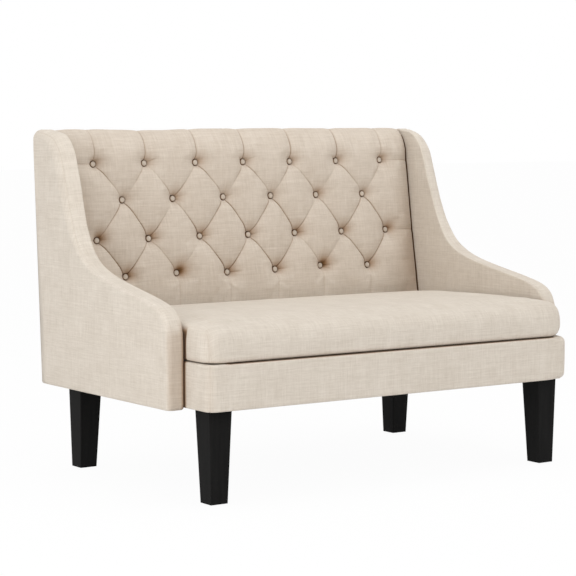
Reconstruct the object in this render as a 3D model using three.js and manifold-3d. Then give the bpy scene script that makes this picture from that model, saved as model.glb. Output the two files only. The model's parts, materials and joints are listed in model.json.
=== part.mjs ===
// High back settee: a two-seater with a deep-buttoned back between slope-topped wings,
// a tight sprung seat on a padded seat box, and four square tapered legs.
// Millimetres, +Z up, front towards -Y, left and right as seen from the front.
// The origin lies on the floor under the middle of the settee.
import * as THREE from 'three';
import { mergeVertices } from 'three/addons/utils/BufferGeometryUtils.js';
import Module from 'manifold-3d';

const wasm = await Module();
wasm.setup();

// Overall size.
const overallWidth = 1257;
const overallDepth = 787;
const overallHeight = 903;

// Clearance between pieces that touch, and how far a cut runs past the piece it cuts.
const jointGap = 0.3;
const cutOverrun = 12;

// Legs.
const legLength = 228.5;
const legTopWidth = 65.2;
const legFootWidth = 48.8;
const legEdgeChamfer = 1.5;
const legFromSide = 55;
const legFromFront = 67.6;
const legFromRear = 50.7;

// How far each foot stands outside the middle of its leg's top, across and along.
const legFootOutX = 2.1;
const legFootOutY = 4.8;

// Nail glides under the legs.
const glideRadius = 10.5;
const glideThickness = 3;
const glideChamfer = 0.8;
const glideNailRadius = 1.5;
const glideNailLength = 16;

// Hanger bolts that hold the legs.
const hangerBoltRadius = 4;
const hangerBoltInLeg = 38;
const hangerBoltInBlock = 44;
const hangerBoltPoint = 6;

// Padded border round the seat box.
const borderHeight = 116.6;
const borderThickness = 12;
const borderCornerRadius = 38;
const borderEdgeRadius = 10;
const dustCoverThickness = 1.2;

// Wooden frame of the seat box.
const railThickness = 25;
const railTopDrop = 11;
const centreRailHeight = 62;
const cornerBlockSize = 66;
const cornerBlockHeight = 58;

// Springs, their clip strips and the deck cloth over them.
const springCount = 5;
const springBarCount = 13;
const springWidth = 52;
const springWireRadius = 1.9;
const springCrown = 14;
const springSideMargin = 92;
const clipWall = 1.5;
const clipDepth = 11;
const clipSideMargin = 70;
const deckClothThickness = 1.5;
const deckSideMargin = 8;

// Seat cushion: cover over foam.
const seatHeight = 100;
const seatCoverThickness = 3;
const seatCornerRadius = 60;
const seatRearCornerRadius = 14;
const seatFrontInset = 4;
const seatFrontRoll = 80;
const seatRearRoll = 30;
const seatSideRoll = 18;
const seatCrestFromFront = 260;
const seatFrontFall = 3;
const seatRearFall = 24;
const seatSideFall = 3;

// Wings: plywood board, foam wrap and cover.
const wingThickness = 48.5;
const wingSetback = 108;
const wingFootDrop = 3;
const wingEdgeRadius = 21;
const wingTopCornerRadius = 22;
const wingCoverThickness = 2;
const wingEdgePadding = 8;
const wingBoardThickness = 18;

// Rear of the settee: it leans back up to a break below the top.
const backRake = 36;
const rakeBreakDrop = 53;

// Buttoned back.
const backTopDrop = 1;
const backAtTopRow = 56.8;
const backLeanShare = 0.129;
const topRowDrop = 90.8;
const buttonRowsHeight = 302.6;
const buttonPitch = 161.4;
const buttonSideMargin = 60;
const backRollStart = 8;
const backCoverThickness = 3;
const backFoamThickness = 9;
const backBoardThickness = 9;
const backBoardAboveButtons = 30;
const outsideBackThickness = 5;
const outsideBackTopDrop = 8;

// Puffs of the buttoned back, and how deep their pleats are.
const puffHeight = 24;
const puffReach = 63;
const lowerPuffShare = 0.58;
const topPuffShare = 0.2;
const sidePuffShare = 0.45;
const sidePuffReach = 60;
const buttonDimpleRadius = 30;
const pleatDepthShare = 0.6;
const upperPleatDepthShare = 0.65;
const lowerPleatDepthShare = 0.22;

// Covered buttons, their stems and the lacing twine behind the board.
const buttonRadius = 8.6;
const buttonStandOff = 3.4;
const buttonRim = 1.6;
const buttonDome = 2.4;
const stemRadius = 1.6;
const stemHoleRadius = 3;
const twineRadius = 1.4;

// Wooden frame of the back.
const postThickness = 25;
const backFrameTopDrop = 40;
const topRailHeight = 40;
const lowerRailHeight = 58;
const backRailThickness = 20;

// Bolts of the wings and of the back posts.
const boltRadius = 4;
const boltHeadRadius = 8;
const boltHeadThickness = 4;
const wingBoltFromFront = 120;
const wingBoltUpperRise = 118;
const wingBoltInBoard = 12;
const postBoltInRail = 40;
const postBoltMargin = 28;

// Rows of buttons from the top one down, as shares of the height from first to last.
const buttonRowShares = [0, 0.319, 0.671, 1];

// Slope of the wing from its nose up to its top: shares of the wing's depth and height.
const wingSlopeShares = [
  [0, 0.247], [0.008, 0.292], [0.033, 0.339], [0.086, 0.37], [0.19, 0.395],
  [0.338, 0.423], [0.471, 0.452], [0.567, 0.486], [0.632, 0.533], [0.683, 0.611],
  [0.717, 0.69], [0.746, 0.775], [0.776, 0.862], [0.796, 0.913], [0.825, 0.951],
  [0.87, 0.983],
];

// Roll over the top of the back: shares of its depth and height.
const backRollShares = [[0, 0], [0.1, 0.37], [0.33, 0.71], [0.66, 0.93], [1, 1]];

// Section of the seat cushion from its seam up: shares of its roll and of its height.
const seatSectionShares = [
  [0.14, 0], [0.03, 0.09], [0, 0.22], [0, 0.44], [0.035, 0.61],
  [0.1, 0.73], [0.27, 0.86], [0.58, 0.95], [1, 0.985],
];

// Rings of the cushion's crown between its roll and its crest, as shares of the way in.
const seatCrownShares = [0.25, 0.55, 0.9];

// Steps of round edges and bores.
const arcSteps = 4;
const edgeSteps = 2;
const boreSides = 4;
const boltSides = 8;
const buttonSides = 8;
const tuftSteps = 3;
const slopeSteps = 26;

// Heights of the seat box.
const legTopZ = glideThickness + jointGap + legLength;
const undersideZ = legTopZ + jointGap;
const frameBottomZ = undersideZ + dustCoverThickness + jointGap;
const seamZ = undersideZ + borderHeight;
const railTopZ = seamZ - railTopDrop;
const clipBottomZ = railTopZ + jointGap;
const clipHeight = 2 * (clipWall + jointGap + springWireRadius);
const springEndZ = clipBottomZ + clipHeight / 2;
const deckEndZ = clipBottomZ + clipHeight + jointGap;

// Widths and depths of the seat box, whose border touches the wings.
const frontY = -overallDepth / 2;
const rearY = overallDepth / 2;
const wingInnerX = overallWidth / 2 - wingThickness;
const seatBoxHalfWidth = wingInnerX - jointGap;
const frameHalfWidth = seatBoxHalfWidth - borderThickness - jointGap;
const frameFrontY = frontY + borderThickness + jointGap;
const frontRailRearY = frontY + borderCornerRadius + jointGap;
const railInnerX = frameHalfWidth - railThickness;

// Levels and lean of the back.
const backTopZ = overallHeight - backTopDrop;
const rakeBreakZ = overallHeight - rakeBreakDrop;
const topRowZ = overallHeight - topRowDrop;
const backCoverBottomZ = seamZ + railTopDrop / 2;
const backFrameTopZ = backTopZ - backFrameTopDrop;
const boardOffset = backCoverThickness + 2 * jointGap + backFoamThickness;
const frameOffset = boardOffset + backBoardThickness + jointGap;
const leanAngle = Math.atan(backLeanShare);

// The outer rear face of the settee at a level.
function rearLineY(z) {
  const below = Math.max(rakeBreakZ - z, 0);
  return rearY - backRake * below / (rakeBreakZ - undersideZ);
}

// The plane of the buttons at a level.
function buttonPlaneY(z) {
  return rearY - backAtTopRow - backLeanShare * (topRowZ - z);
}

// The rear face of the back frame, inside the outside back and the turned-down cover.
function frameRearY(z) {
  return rearLineY(z) - outsideBackThickness - backCoverThickness - 2 * jointGap;
}

const postFrontLowY = buttonPlaneY(railTopZ) + frameOffset;
const rearRailRearY = frameRearY(undersideZ);
const rearRailFrontY = rearRailRearY - railThickness;
const legX = seatBoxHalfWidth - legFromSide;
const frontLegY = frontY + legFromFront;
const rearLegY = rearLineY(undersideZ) - legFromRear;

// Finishes.
const linen = { color: 0xd7cbbb, roughness: 0.9, metalness: 0 };
const foam = { color: 0xe8dcb4, roughness: 0.95, metalness: 0 };
const blackCloth = { color: 0x1d1d1f, roughness: 0.95, metalness: 0 };
const burlap = { color: 0xa98f66, roughness: 0.95, metalness: 0 };
const birch = { color: 0xc9a874, roughness: 0.7, metalness: 0 };
const plywood = { color: 0xbf9a63, roughness: 0.75, metalness: 0 };
const blackLacquer = { color: 0x141312, roughness: 0.45, metalness: 0 };
const steel = { color: 0x8d9095, roughness: 0.4, metalness: 1 };
const darkPlastic = { color: 0x24211f, roughness: 0.6, metalness: 0 };

// A closed solid, from a geometry whose points are shared by position alone.
function solidOf(geometry) {
  const bare = geometry.clone();
  bare.deleteAttribute('normal');
  bare.deleteAttribute('uv');
  const merged = mergeVertices(bare, jointGap / 1000);
  const corners = merged.index.array;
  const faces = [];
  for (let i = 0; i < corners.length; i += 3) {
    const [a, b, c] = corners.slice(i, i + 3);
    if (a !== b && b !== c && c !== a) {
      faces.push(a, b, c);
    }
  }
  return new wasm.Manifold(new wasm.Mesh({
    numProp: 3,
    vertProperties: new Float32Array(merged.attributes.position.array),
    triVerts: new Uint32Array(faces),
  }));
}

function geometryOf(solid) {
  const mesh = solid.getMesh();
  const geometry = new THREE.BufferGeometry();
  geometry.setAttribute('position', new THREE.BufferAttribute(mesh.vertProperties, 3));
  geometry.setIndex(new THREE.BufferAttribute(mesh.triVerts, 1));
  return geometry;
}

function cut(geometry, ...cutters) {
  const solids = cutters.map(solidOf);
  return geometryOf(solids.reduce((rest, cutter) => rest.subtract(cutter), solidOf(geometry)));
}

function intersect(geometry, other) {
  return geometryOf(solidOf(geometry).intersect(solidOf(other)));
}

function join(...geometries) {
  return geometryOf(geometries.map(solidOf).reduce((whole, piece) => whole.add(piece)));
}

// Volume enclosed by an indexed mesh, negative where its faces point inwards.
function signedVolume(points, faces) {
  let volume = 0;
  for (let i = 0; i < faces.length; i += 3) {
    const [a, b, c] = [points[faces[i]], points[faces[i + 1]], points[faces[i + 2]]];
    volume += a.dot(new THREE.Vector3().crossVectors(b, c)) / 6;
  }
  return volume;
}

// Triangles that close a flat ring of points, turned as the ring is.
function capOf(ring) {
  const origin = ring[0];
  const normal = new THREE.Vector3();
  ring.forEach((point, i) => {
    const next = ring[(i + 1) % ring.length];
    normal.add(new THREE.Vector3().crossVectors(
      point.clone().sub(origin),
      next.clone().sub(origin),
    ));
  });
  normal.normalize();
  const along = ring[1].clone().sub(origin).normalize();
  const across = new THREE.Vector3().crossVectors(normal, along);
  const flat = ring.map((point) => {
    const offset = point.clone().sub(origin);
    return new THREE.Vector2(offset.dot(along), offset.dot(across));
  });
  return THREE.ShapeUtils.triangulateShape(flat, []);
}

// A closed body skinned over rings of equal count, with both end rings closed flat.
function loft(rings) {
  const count = rings[0].length;
  const points = rings.flat();
  const faces = [];
  for (let ring = 0; ring < rings.length - 1; ring += 1) {
    for (let side = 0; side < count; side += 1) {
      const a = ring * count + side;
      const b = ring * count + (side + 1) % count;
      faces.push(a, b, b + count, a, b + count, a + count);
    }
  }
  const last = (rings.length - 1) * count;
  capOf(rings[0]).forEach(([a, b, c]) => faces.push(a, c, b));
  capOf(rings.at(-1)).forEach(([a, b, c]) => faces.push(last + a, last + b, last + c));
  if (signedVolume(points, faces) < 0) {
    faces.reverse();
  }
  const geometry = new THREE.BufferGeometry();
  geometry.setFromPoints(points);
  geometry.setIndex(faces);
  return geometry;
}

const across = new THREE.Vector3(1, 0, 0);
const rearward = new THREE.Vector3(0, 1, 0);
const upward = new THREE.Vector3(0, 0, 1);

// An outline of [y, z] points extruded from one x to another, its edges rounded if asked.
function extrudeAcross(outline, fromX, toX, edgeRadius = 0) {
  const shape = new THREE.Shape(outline.map(([y, z]) => new THREE.Vector2(y, z)));
  const geometry = new THREE.ExtrudeGeometry(shape, {
    depth: toX - fromX - 2 * edgeRadius,
    bevelEnabled: edgeRadius > 0,
    bevelThickness: edgeRadius,
    bevelSize: edgeRadius,
    bevelOffset: -edgeRadius,
    bevelSegments: edgeSteps,
  });
  geometry.applyMatrix4(new THREE.Matrix4().makeBasis(rearward, upward, across));
  return geometry.translate(fromX + edgeRadius, 0, 0);
}

// An outline of [x, y] points extruded from one level to another.
function extrudeUp(outline, fromZ, toZ) {
  const shape = new THREE.Shape(outline.map(([x, y]) => new THREE.Vector2(x, y)));
  const geometry = new THREE.ExtrudeGeometry(shape, { depth: toZ - fromZ, bevelEnabled: false });
  return geometry.translate(0, 0, fromZ);
}

function boxBetween([x0, x1], [y0, y1], [z0, z1]) {
  const geometry = new THREE.BoxGeometry(Math.abs(x1 - x0), y1 - y0, z1 - z0);
  return geometry.translate((x0 + x1) / 2, (y0 + y1) / 2, (z0 + z1) / 2);
}

// A round bar or bore between two points.
function barBetween(from, to, radius, sides) {
  const span = to.clone().sub(from);
  const geometry = new THREE.CylinderGeometry(radius, radius, span.length(), sides);
  const turn = new THREE.Quaternion().setFromUnitVectors(rearward, span.clone().normalize());
  geometry.applyQuaternion(turn);
  const middle = from.clone().add(to).multiplyScalar(1 / 2);
  return geometry.translate(middle.x, middle.y, middle.z);
}

// Points of an arc about a centre, both ends included.
function arcPoints([u, v], radius, fromAngle, toAngle, steps = arcSteps) {
  return Array.from({ length: steps + 1 }, (_, i) => {
    const angle = fromAngle + (toAngle - fromAngle) * i / steps;
    return [u + radius * Math.cos(angle), v + radius * Math.sin(angle)];
  });
}

const quarter = Math.PI / 2;

const settee = new THREE.Group();

function addPiece(name, geometry, finish, [x, y, z] = [0, 0, 0]) {
  const piece = new THREE.Mesh(geometry, new THREE.MeshStandardMaterial(finish));
  piece.name = name;
  piece.position.set(x, y, z);
  settee.add(piece);
}

const sides = [['left', -1], ['right', 1]];

function rangeOnSide(side, innerX, outerX) {
  return side > 0 ? [innerX, outerX] : [-outerX, -innerX];
}

// Square leg with chamfered edges, wider at its top, bored for its bolt and its glide.
function squareSection([centreX, centreY], width, chamfer, z) {
  const half = width / 2;
  const near = half - chamfer;
  return [[half, near], [near, half], [-near, half], [-half, near],
    [-half, -near], [-near, -half], [near, -half], [half, -near]]
    .map(([x, y]) => new THREE.Vector3(centreX + x, centreY + y, z));
}

function legGeometry([footX, footY]) {
  const body = loft([
    squareSection([footX, footY], legFootWidth, legEdgeChamfer, 0),
    squareSection([0, 0], legTopWidth, legEdgeChamfer, legLength),
  ]);
  const boltBore = barBetween(
    new THREE.Vector3(0, 0, legLength - hangerBoltInLeg - jointGap),
    new THREE.Vector3(0, 0, legLength + cutOverrun),
    hangerBoltRadius + jointGap,
    boltSides,
  );
  const nailBore = barBetween(
    new THREE.Vector3(footX, footY, -cutOverrun),
    new THREE.Vector3(footX, footY, glideNailLength + jointGap),
    glideNailRadius + jointGap,
    boltSides,
  );
  return cut(body, boltBore, nailBore);
}

function glideGeometry() {
  const profile = [
    [0, 0],
    [glideRadius - glideChamfer, 0],
    [glideRadius, glideChamfer],
    [glideRadius, glideThickness],
    [glideNailRadius, glideThickness],
    [glideNailRadius, glideThickness + glideNailLength - glideNailRadius],
    [0, glideThickness + glideNailLength],
  ];
  return turned(profile, boltSides);
}

// A profile of [radius, height] points turned about +Z.
function turned(profile, sideCount) {
  const points = profile.map(([radius, height]) => new THREE.Vector2(radius, height));
  return new THREE.LatheGeometry(points, sideCount).rotateX(quarter);
}

function hangerBoltGeometry() {
  return turned([
    [0, -hangerBoltInLeg],
    [hangerBoltRadius / 2, -hangerBoltInLeg],
    [hangerBoltRadius, hangerBoltPoint - hangerBoltInLeg],
    [hangerBoltRadius, hangerBoltInBlock],
    [0, hangerBoltInBlock],
  ], boltSides);
}

const legPlaces = [
  ['front_left', -legX, frontLegY, [-legFootOutX, -legFootOutY]],
  ['front_right', legX, frontLegY, [legFootOutX, -legFootOutY]],
  ['rear_left', -legX, rearLegY, [-legFootOutX, legFootOutY]],
  ['rear_right', legX, rearLegY, [legFootOutX, legFootOutY]],
];

function addLegs() {
  for (const [place, x, y, foot] of legPlaces) {
    const [footX, footY] = foot;
    addPiece(`leg_${place}`, legGeometry(foot), blackLacquer, [x, y, legTopZ - legLength]);
    addPiece(`leg_glide_${place}`, glideGeometry(), darkPlastic, [x + footX, y + footY, 0]);
    addPiece(`hanger_bolt_${place}`, hangerBoltGeometry(), steel, [x, y, legTopZ]);
  }
}

// Bores in the seat box for the four hanger bolts.
function hangerBores() {
  return legPlaces.map(([, x, y]) => barBetween(
    new THREE.Vector3(x, y, legTopZ - cutOverrun),
    new THREE.Vector3(x, y, legTopZ + hangerBoltInBlock + jointGap),
    hangerBoltRadius + jointGap,
    boltSides,
  ));
}

// Plan of a seat box layer: square behind, with rounded front corners.
function seatBoxPlan(halfWidth, nearY, farY, radius) {
  const centreY = nearY + radius;
  return [
    [halfWidth, farY],
    [-halfWidth, farY],
    ...arcPoints([-(halfWidth - radius), centreY], radius, Math.PI, Math.PI + quarter),
    ...arcPoints([halfWidth - radius, centreY], radius, -quarter, 0),
  ];
}

// Border section at one place of its route: inner edge, and the way outwards.
function borderSection([x, y], [outX, outY]) {
  const round = Math.min(borderEdgeRadius, borderThickness - jointGap);
  const lower = arcPoints([borderThickness - round, round], round, -quarter, 0);
  const upper = arcPoints([borderThickness - round, borderHeight - round], round, 0, quarter);
  return [[0, 0], ...lower, ...upper, [0, borderHeight]].map(([out, rise]) => (
    new THREE.Vector3(x + out * outX, y + out * outY, undersideZ + rise)
  ));
}

// The border wraps the seat box from one rear corner round the front to the other.
function borderGeometry() {
  const innerX = seatBoxHalfWidth - borderThickness;
  const innerRadius = borderCornerRadius - borderThickness;
  const centreX = seatBoxHalfWidth - borderCornerRadius;
  const centreY = frontY + borderCornerRadius;
  const stations = [[[-innerX, rearRailRearY], [-1, 0]]];
  for (const [sideX, fromAngle] of [[-centreX, Math.PI], [centreX, 3 * quarter]]) {
    for (const [outX, outY] of arcPoints([0, 0], 1, fromAngle, fromAngle + quarter)) {
      stations.push([
        [sideX + innerRadius * outX, centreY + innerRadius * outY],
        [outX, outY],
      ]);
    }
  }
  stations.push([[innerX, rearRailRearY], [1, 0]]);
  return loft(stations.map(([place, out]) => borderSection(place, out)));
}

function addSeatBox() {
  const radius = borderCornerRadius - borderThickness - jointGap;
  const bores = [...hangerBores(), ...wingBoltBores(), ...postBoltBores()];
  const frontPlan = seatBoxPlan(frameHalfWidth, frameFrontY, frontRailRearY, radius);
  addPiece('seat_front_rail', cut(extrudeUp(frontPlan, frameBottomZ, railTopZ), ...bores), birch);
  const postInnerX = frameHalfWidth - postThickness;
  const rearRail = boxBetween(
    [jointGap - postInnerX, postInnerX - jointGap],
    [rearRailFrontY, rearRailRearY],
    [frameBottomZ, railTopZ],
  );
  addPiece('seat_rear_rail', cut(rearRail, ...bores), birch);
  for (const [place, side] of sides) {
    const sideRail = boxBetween(
      rangeOnSide(side, railInnerX, frameHalfWidth),
      [frontRailRearY + jointGap, postFrontLowY - jointGap],
      [frameBottomZ, railTopZ],
    );
    addPiece(`seat_side_rail_${place}`, cut(sideRail, ...bores), birch);
  }
  addPiece('seat_centre_rail', boxBetween(
    [-railThickness / 2, railThickness / 2],
    [frontRailRearY + jointGap, rearRailFrontY - jointGap],
    [frameBottomZ, frameBottomZ + centreRailHeight],
  ), birch);
  addCornerBlocks(bores);
  const dustPlan = seatBoxPlan(frameHalfWidth, frameFrontY, rearRailRearY, radius);
  const dustCover = extrudeUp(dustPlan, undersideZ, undersideZ + dustCoverThickness);
  addPiece('dust_cover', cut(dustCover, ...bores), blackCloth);
  addPiece('base_border', cut(borderGeometry(), ...bores), linen);
}

// Glue blocks in the corners of the seat box, cut across towards its middle.
function addCornerBlocks(bores) {
  const blockInnerX = railInnerX - jointGap;
  const depths = [['front', frontRailRearY + jointGap, 1], ['rear', rearRailFrontY - jointGap, -1]];
  for (const [depthName, cornerY, inward] of depths) {
    for (const [sideName, side] of sides) {
      const cornerX = side * blockInnerX;
      const size = cornerBlockSize;
      const half = size / 2;
      const outline = [[0, 0], [size, 0], [size, half], [half, size], [0, size]]
        .map(([x, y]) => [cornerX - side * x, cornerY + inward * y]);
      const block = extrudeUp(outline, frameBottomZ, frameBottomZ + cornerBlockHeight);
      const name = `corner_block_${depthName}_${sideName}`;
      addPiece(name, cut(block, ...bores), birch);
    }
  }
}

// A domed bolt head with its shank, from the head's outer face along a direction.
function boltGeometry(place, direction, shankLength) {
  const shape = turned([
    [0, -boltHeadThickness],
    [boltHeadRadius - boltHeadThickness / 2, -boltHeadThickness],
    [boltHeadRadius, 0],
    [boltRadius, 0],
    [boltRadius, shankLength],
    [0, shankLength],
  ], boltSides);
  shape.applyQuaternion(new THREE.Quaternion().setFromUnitVectors(upward, direction));
  return shape.translate(place.x, place.y, place.z);
}

// A bore for a bolt, with room for its head before its seat.
function boltBore(place, direction, shankLength) {
  const at = (distance) => place.clone().addScaledVector(direction, distance);
  const shank = barBetween(
    at(0), at(shankLength + jointGap), boltRadius + jointGap, boltSides,
  );
  const head = barBetween(
    at(-boltHeadThickness - cutOverrun), at(jointGap), boltHeadRadius + jointGap, boltSides,
  );
  return [shank, head];
}

// Wing bolts: the lower one through the side rail, the upper one through the back post.
const wingBoardInnerX = wingInnerX + (wingThickness - wingBoardThickness) / 2;
const wingBoltPlaces = sides.flatMap(([sideName, side]) => {
  const lower = [frontY + wingSetback + wingBoltFromFront, (frameBottomZ + railTopZ) / 2];
  const upperZ = seamZ + wingBoltUpperRise;
  const upper = [(buttonPlaneY(upperZ) + frameOffset + frameRearY(upperZ)) / 2, upperZ];
  return [['lower', railThickness, lower], ['upper', postThickness, upper]]
    .map(([level, thickness, [y, z]]) => ({
      name: `wing_bolt_${level}_${sideName}`,
      place: new THREE.Vector3(side * (frameHalfWidth - thickness - jointGap), y, z),
      direction: new THREE.Vector3(side, 0, 0),
      length: wingBoardInnerX + wingBoltInBoard - frameHalfWidth + thickness,
    }));
});

function wingBoltBores() {
  return wingBoltPlaces.flatMap(({ place, direction, length }) => (
    boltBore(place, direction, length)
  ));
}

// Post bolts: from behind, through the foot of each back post into the side rail.
const postBoltPlaces = sides.flatMap(([sideName, side]) => (
  [['lower', frameBottomZ + postBoltMargin], ['upper', railTopZ - postBoltMargin]]
    .map(([level, z]) => {
      const seatY = rearRailRearY - boltHeadThickness;
      return {
        name: `back_bolt_${level}_${sideName}`,
        place: new THREE.Vector3(side * (frameHalfWidth - railThickness / 2), seatY, z),
        direction: new THREE.Vector3(0, -1, 0),
        length: seatY - postFrontLowY + postBoltInRail,
      };
    })
));

function postBoltBores() {
  return postBoltPlaces.flatMap(({ place, direction, length }) => (
    boltBore(place, direction, length)
  ));
}

function addBolts() {
  for (const { name, place, direction, length } of [...wingBoltPlaces, ...postBoltPlaces]) {
    addPiece(name, boltGeometry(place, direction, length), steel);
  }
}

// Springs run from a clip strip on the front rail to one on the rear rail.
const frontClipY = frontRailRearY - clipDepth;
const rearClipY = rearRailFrontY + clipDepth;

// A clip strip: a channel that opens towards the middle of the seat.
function clipGeometry(closedY, towards) {
  const halfLength = frameHalfWidth - clipSideMargin;
  const outline = [
    [0, 0], [clipDepth, 0], [clipDepth, clipWall], [clipWall, clipWall],
    [clipWall, clipHeight - clipWall], [clipDepth, clipHeight - clipWall],
    [clipDepth, clipHeight], [0, clipHeight],
  ].map(([depth, rise]) => [closedY + towards * depth, clipBottomZ + rise]);
  return extrudeAcross(outline, -halfLength, halfLength);
}

// How far across the deck a place lies: -1 at the front clip, 1 at the rear one.
function deckSpanShare(y) {
  return 2 * (y - frontClipY) / (rearClipY - frontClipY) - 1;
}

function springPath(x) {
  const reach = clipWall + jointGap + springWireRadius;
  const startY = frontClipY + reach;
  const endY = rearClipY - reach;
  const points = [];
  for (let bar = 0; bar < springBarCount; bar += 1) {
    const y = startY + (endY - startY) * bar / (springBarCount - 1);
    const fromMiddle = Math.abs(2 * bar - (springBarCount - 1)) / (springBarCount - 3);
    const z = springEndZ + springCrown * (1 - Math.min(fromMiddle, 1) ** 2);
    const turn = bar % 2 === 0 ? 1 : -1;
    points.push(new THREE.Vector3(x - turn * springWidth / 2, y, z));
    points.push(new THREE.Vector3(x + turn * springWidth / 2, y, z));
  }
  return points;
}

// One unbroken wire bent from bar to bar.
function springGeometry(x) {
  const points = springPath(x);
  return loft(points.map((_, i) => wireSection(points, i)));
}

// Square section of the wire at a bend, mitred between the bars before and after it.
function wireSection(points, i) {
  const before = points[Math.max(i - 1, 0)];
  const after = points[Math.min(i + 1, points.length - 1)];
  const here = points[i];
  const incoming = here.clone().sub(before).setZ(0).normalize();
  const outgoing = after.clone().sub(here).setZ(0).normalize();
  const forward = incoming.clone().add(outgoing).normalize();
  const sideways = new THREE.Vector3().crossVectors(forward, upward);
  const cosine = Math.max(forward.dot(outgoing), forward.dot(incoming));
  const mitre = springWireRadius / cosine;
  return [[-1, -1], [1, -1], [1, 1], [-1, 1]].map(([wide, high]) => (
    here.clone()
      .addScaledVector(sideways, wide * mitre)
      .addScaledVector(upward, high * springWireRadius)
  ));
}

// Underside of the deck cloth: over the clips at its ends, on the springs in the middle.
function deckUndersideZ(y) {
  const middleZ = springEndZ + springCrown + springWireRadius + jointGap;
  return deckEndZ + (middleZ - deckEndZ) * (1 - deckSpanShare(y) ** 2);
}

function deckOutline(drop, rise) {
  const steps = 3 * arcSteps;
  const places = Array.from({ length: steps + 1 }, (_, i) => (
    frontClipY + (rearClipY - frontClipY) * i / steps
  ));
  const lower = places.map((y) => [y, deckUndersideZ(y) + drop]);
  const upper = places.map((y) => [y, deckUndersideZ(y) + rise]);
  return [...lower, ...upper.reverse()];
}

function addSprings() {
  addPiece('spring_clip_strip_front', clipGeometry(frontClipY, 1), steel);
  addPiece('spring_clip_strip_rear', clipGeometry(rearClipY, -1), steel);
  const reach = frameHalfWidth - springSideMargin;
  for (let i = 0; i < springCount; i += 1) {
    const x = -reach + 2 * reach * i / (springCount - 1);
    addPiece(`seat_spring_${i + 1}`, springGeometry(x), steel);
  }
  const deckHalf = frameHalfWidth - postThickness - deckSideMargin;
  const deck = extrudeAcross(deckOutline(0, deckClothThickness), -deckHalf, deckHalf);
  addPiece('deck_cloth', deck, burlap);
}

// Seat cushion.
const seatHalfWidth = wingInnerX - 2 * jointGap;
const seatFrontY = frontY + seatFrontInset;
const seatRearY = buttonPlaneY(backCoverBottomZ) - puffHeight * lowerPuffShare - jointGap;
const seatBottomZ = seamZ + jointGap;
const seatCrestY = frontY + seatCrestFromFront;

// Top of the cushion before its edges roll down.
function seatTopZ(x, y) {
  const fall = y > seatCrestY
    ? seatRearFall * ((y - seatCrestY) / (seatRearY - seatCrestY)) ** 2
    : seatFrontFall * ((y - seatCrestY) / (seatFrontY - seatCrestY)) ** 2;
  return seamZ + seatHeight - fall - seatSideFall * (x / seatHalfWidth) ** 4;
}

// Corner of the cushion's plan: its centre, and an arc of points about it.
function seatCorner(x, y, radius, fromAngle) {
  return arcPoints([x, y], radius, fromAngle, fromAngle + quarter);
}

// Points along one straight edge of the plan, its ends left out.
function edgePoints(from, to, steps) {
  return Array.from({ length: steps - 1 }, (_, i) => {
    const share = (i + 1) / steps;
    return [from[0] + (to[0] - from[0]) * share, from[1] + (to[1] - from[1]) * share];
  });
}

// Plan of the cushion at one ring, from its rear right corner round.
function seatPlan(halfWidth, nearY, farY) {
  const front = Math.min(seatCornerRadius, (farY - nearY) / 3);
  const rear = Math.min(seatRearCornerRadius, (farY - nearY) / 3);
  const corners = [
    seatCorner(halfWidth - rear, farY - rear, rear, 0),
    seatCorner(rear - halfWidth, farY - rear, rear, quarter),
    seatCorner(front - halfWidth, nearY + front, front, 2 * quarter),
    seatCorner(halfWidth - front, nearY + front, front, 3 * quarter),
  ];
  return corners.flatMap((corner, i) => {
    const next = corners[(i + 1) % corners.length];
    const steps = i % 2 === 0 ? 2 * arcSteps : arcSteps;
    return [...corner, ...edgePoints(corner.at(-1), next[0], steps)];
  });
}

// The cushion's form with its whole skin moved in by one distance.
function seatForm(inset, bottomZ) {
  const planAt = (share, beyond) => {
    const halfWidth = seatHalfWidth - inset - share * seatSideRoll;
    const nearY = seatFrontY + inset + share * seatFrontRoll;
    const farY = seatRearY - inset - share * seatRearRoll;
    return seatPlan(
      THREE.MathUtils.lerp(halfWidth, halfWidth / 2, beyond),
      THREE.MathUtils.lerp(nearY, seatCrestY, beyond),
      THREE.MathUtils.lerp(farY, seatCrestY, beyond),
    );
  };
  const ringAt = (plan, heightShare) => plan.map(([x, y]) => new THREE.Vector3(
    x,
    y,
    bottomZ + heightShare * (seatTopZ(x, y) - inset - bottomZ),
  ));
  const rings = seatSectionShares.map(([share, heightShare]) => (
    ringAt(planAt(share, 0), heightShare)
  ));
  seatCrownShares.forEach((beyond) => rings.push(ringAt(planAt(1, beyond), 1)));
  return loft(rings);
}

function addSeat() {
  const hemTopZ = seatBottomZ + seatCoverThickness;
  const hollow = seatForm(seatCoverThickness, hemTopZ);
  const mouthInset = 2 * seatCoverThickness + seatSectionShares[0][0] * seatFrontRoll;
  const mouthPlan = seatPlan(
    seatHalfWidth - mouthInset, seatFrontY + mouthInset, seatRearY - mouthInset,
  );
  const mouth = extrudeUp(mouthPlan, seatBottomZ - cutOverrun, seatBottomZ + cutOverrun);
  const room = extrudeAcross(
    deckOutline(-cutOverrun, deckClothThickness + jointGap), -frameHalfWidth, frameHalfWidth,
  );
  addPiece('seat_cover', cut(seatForm(0, seatBottomZ), hollow, mouth, room), linen);
  const pad = seatForm(seatCoverThickness + jointGap, hemTopZ + jointGap);
  addPiece('seat_foam', cut(pad, room), foam);
}

// Wings, whose feet hang a little below the border.
const wingFootZ = undersideZ - wingFootDrop;
const wingHeight = overallHeight - wingFootZ;
const wingDepth = overallDepth - wingSetback;

// Side outline of a wing as [y, z] points, from its rear edge over the top to its foot.
function wingOutline() {
  const topRadius = wingTopCornerRadius;
  return [
    ...arcPoints([rearY - topRadius, overallHeight - topRadius], topRadius, 0, quarter),
    ...wingSlope(),
    [frontY + wingSetback, wingFootZ],
    [rearLineY(wingFootZ), wingFootZ],
    [rearLineY(rakeBreakZ), rakeBreakZ],
  ];
}

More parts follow.
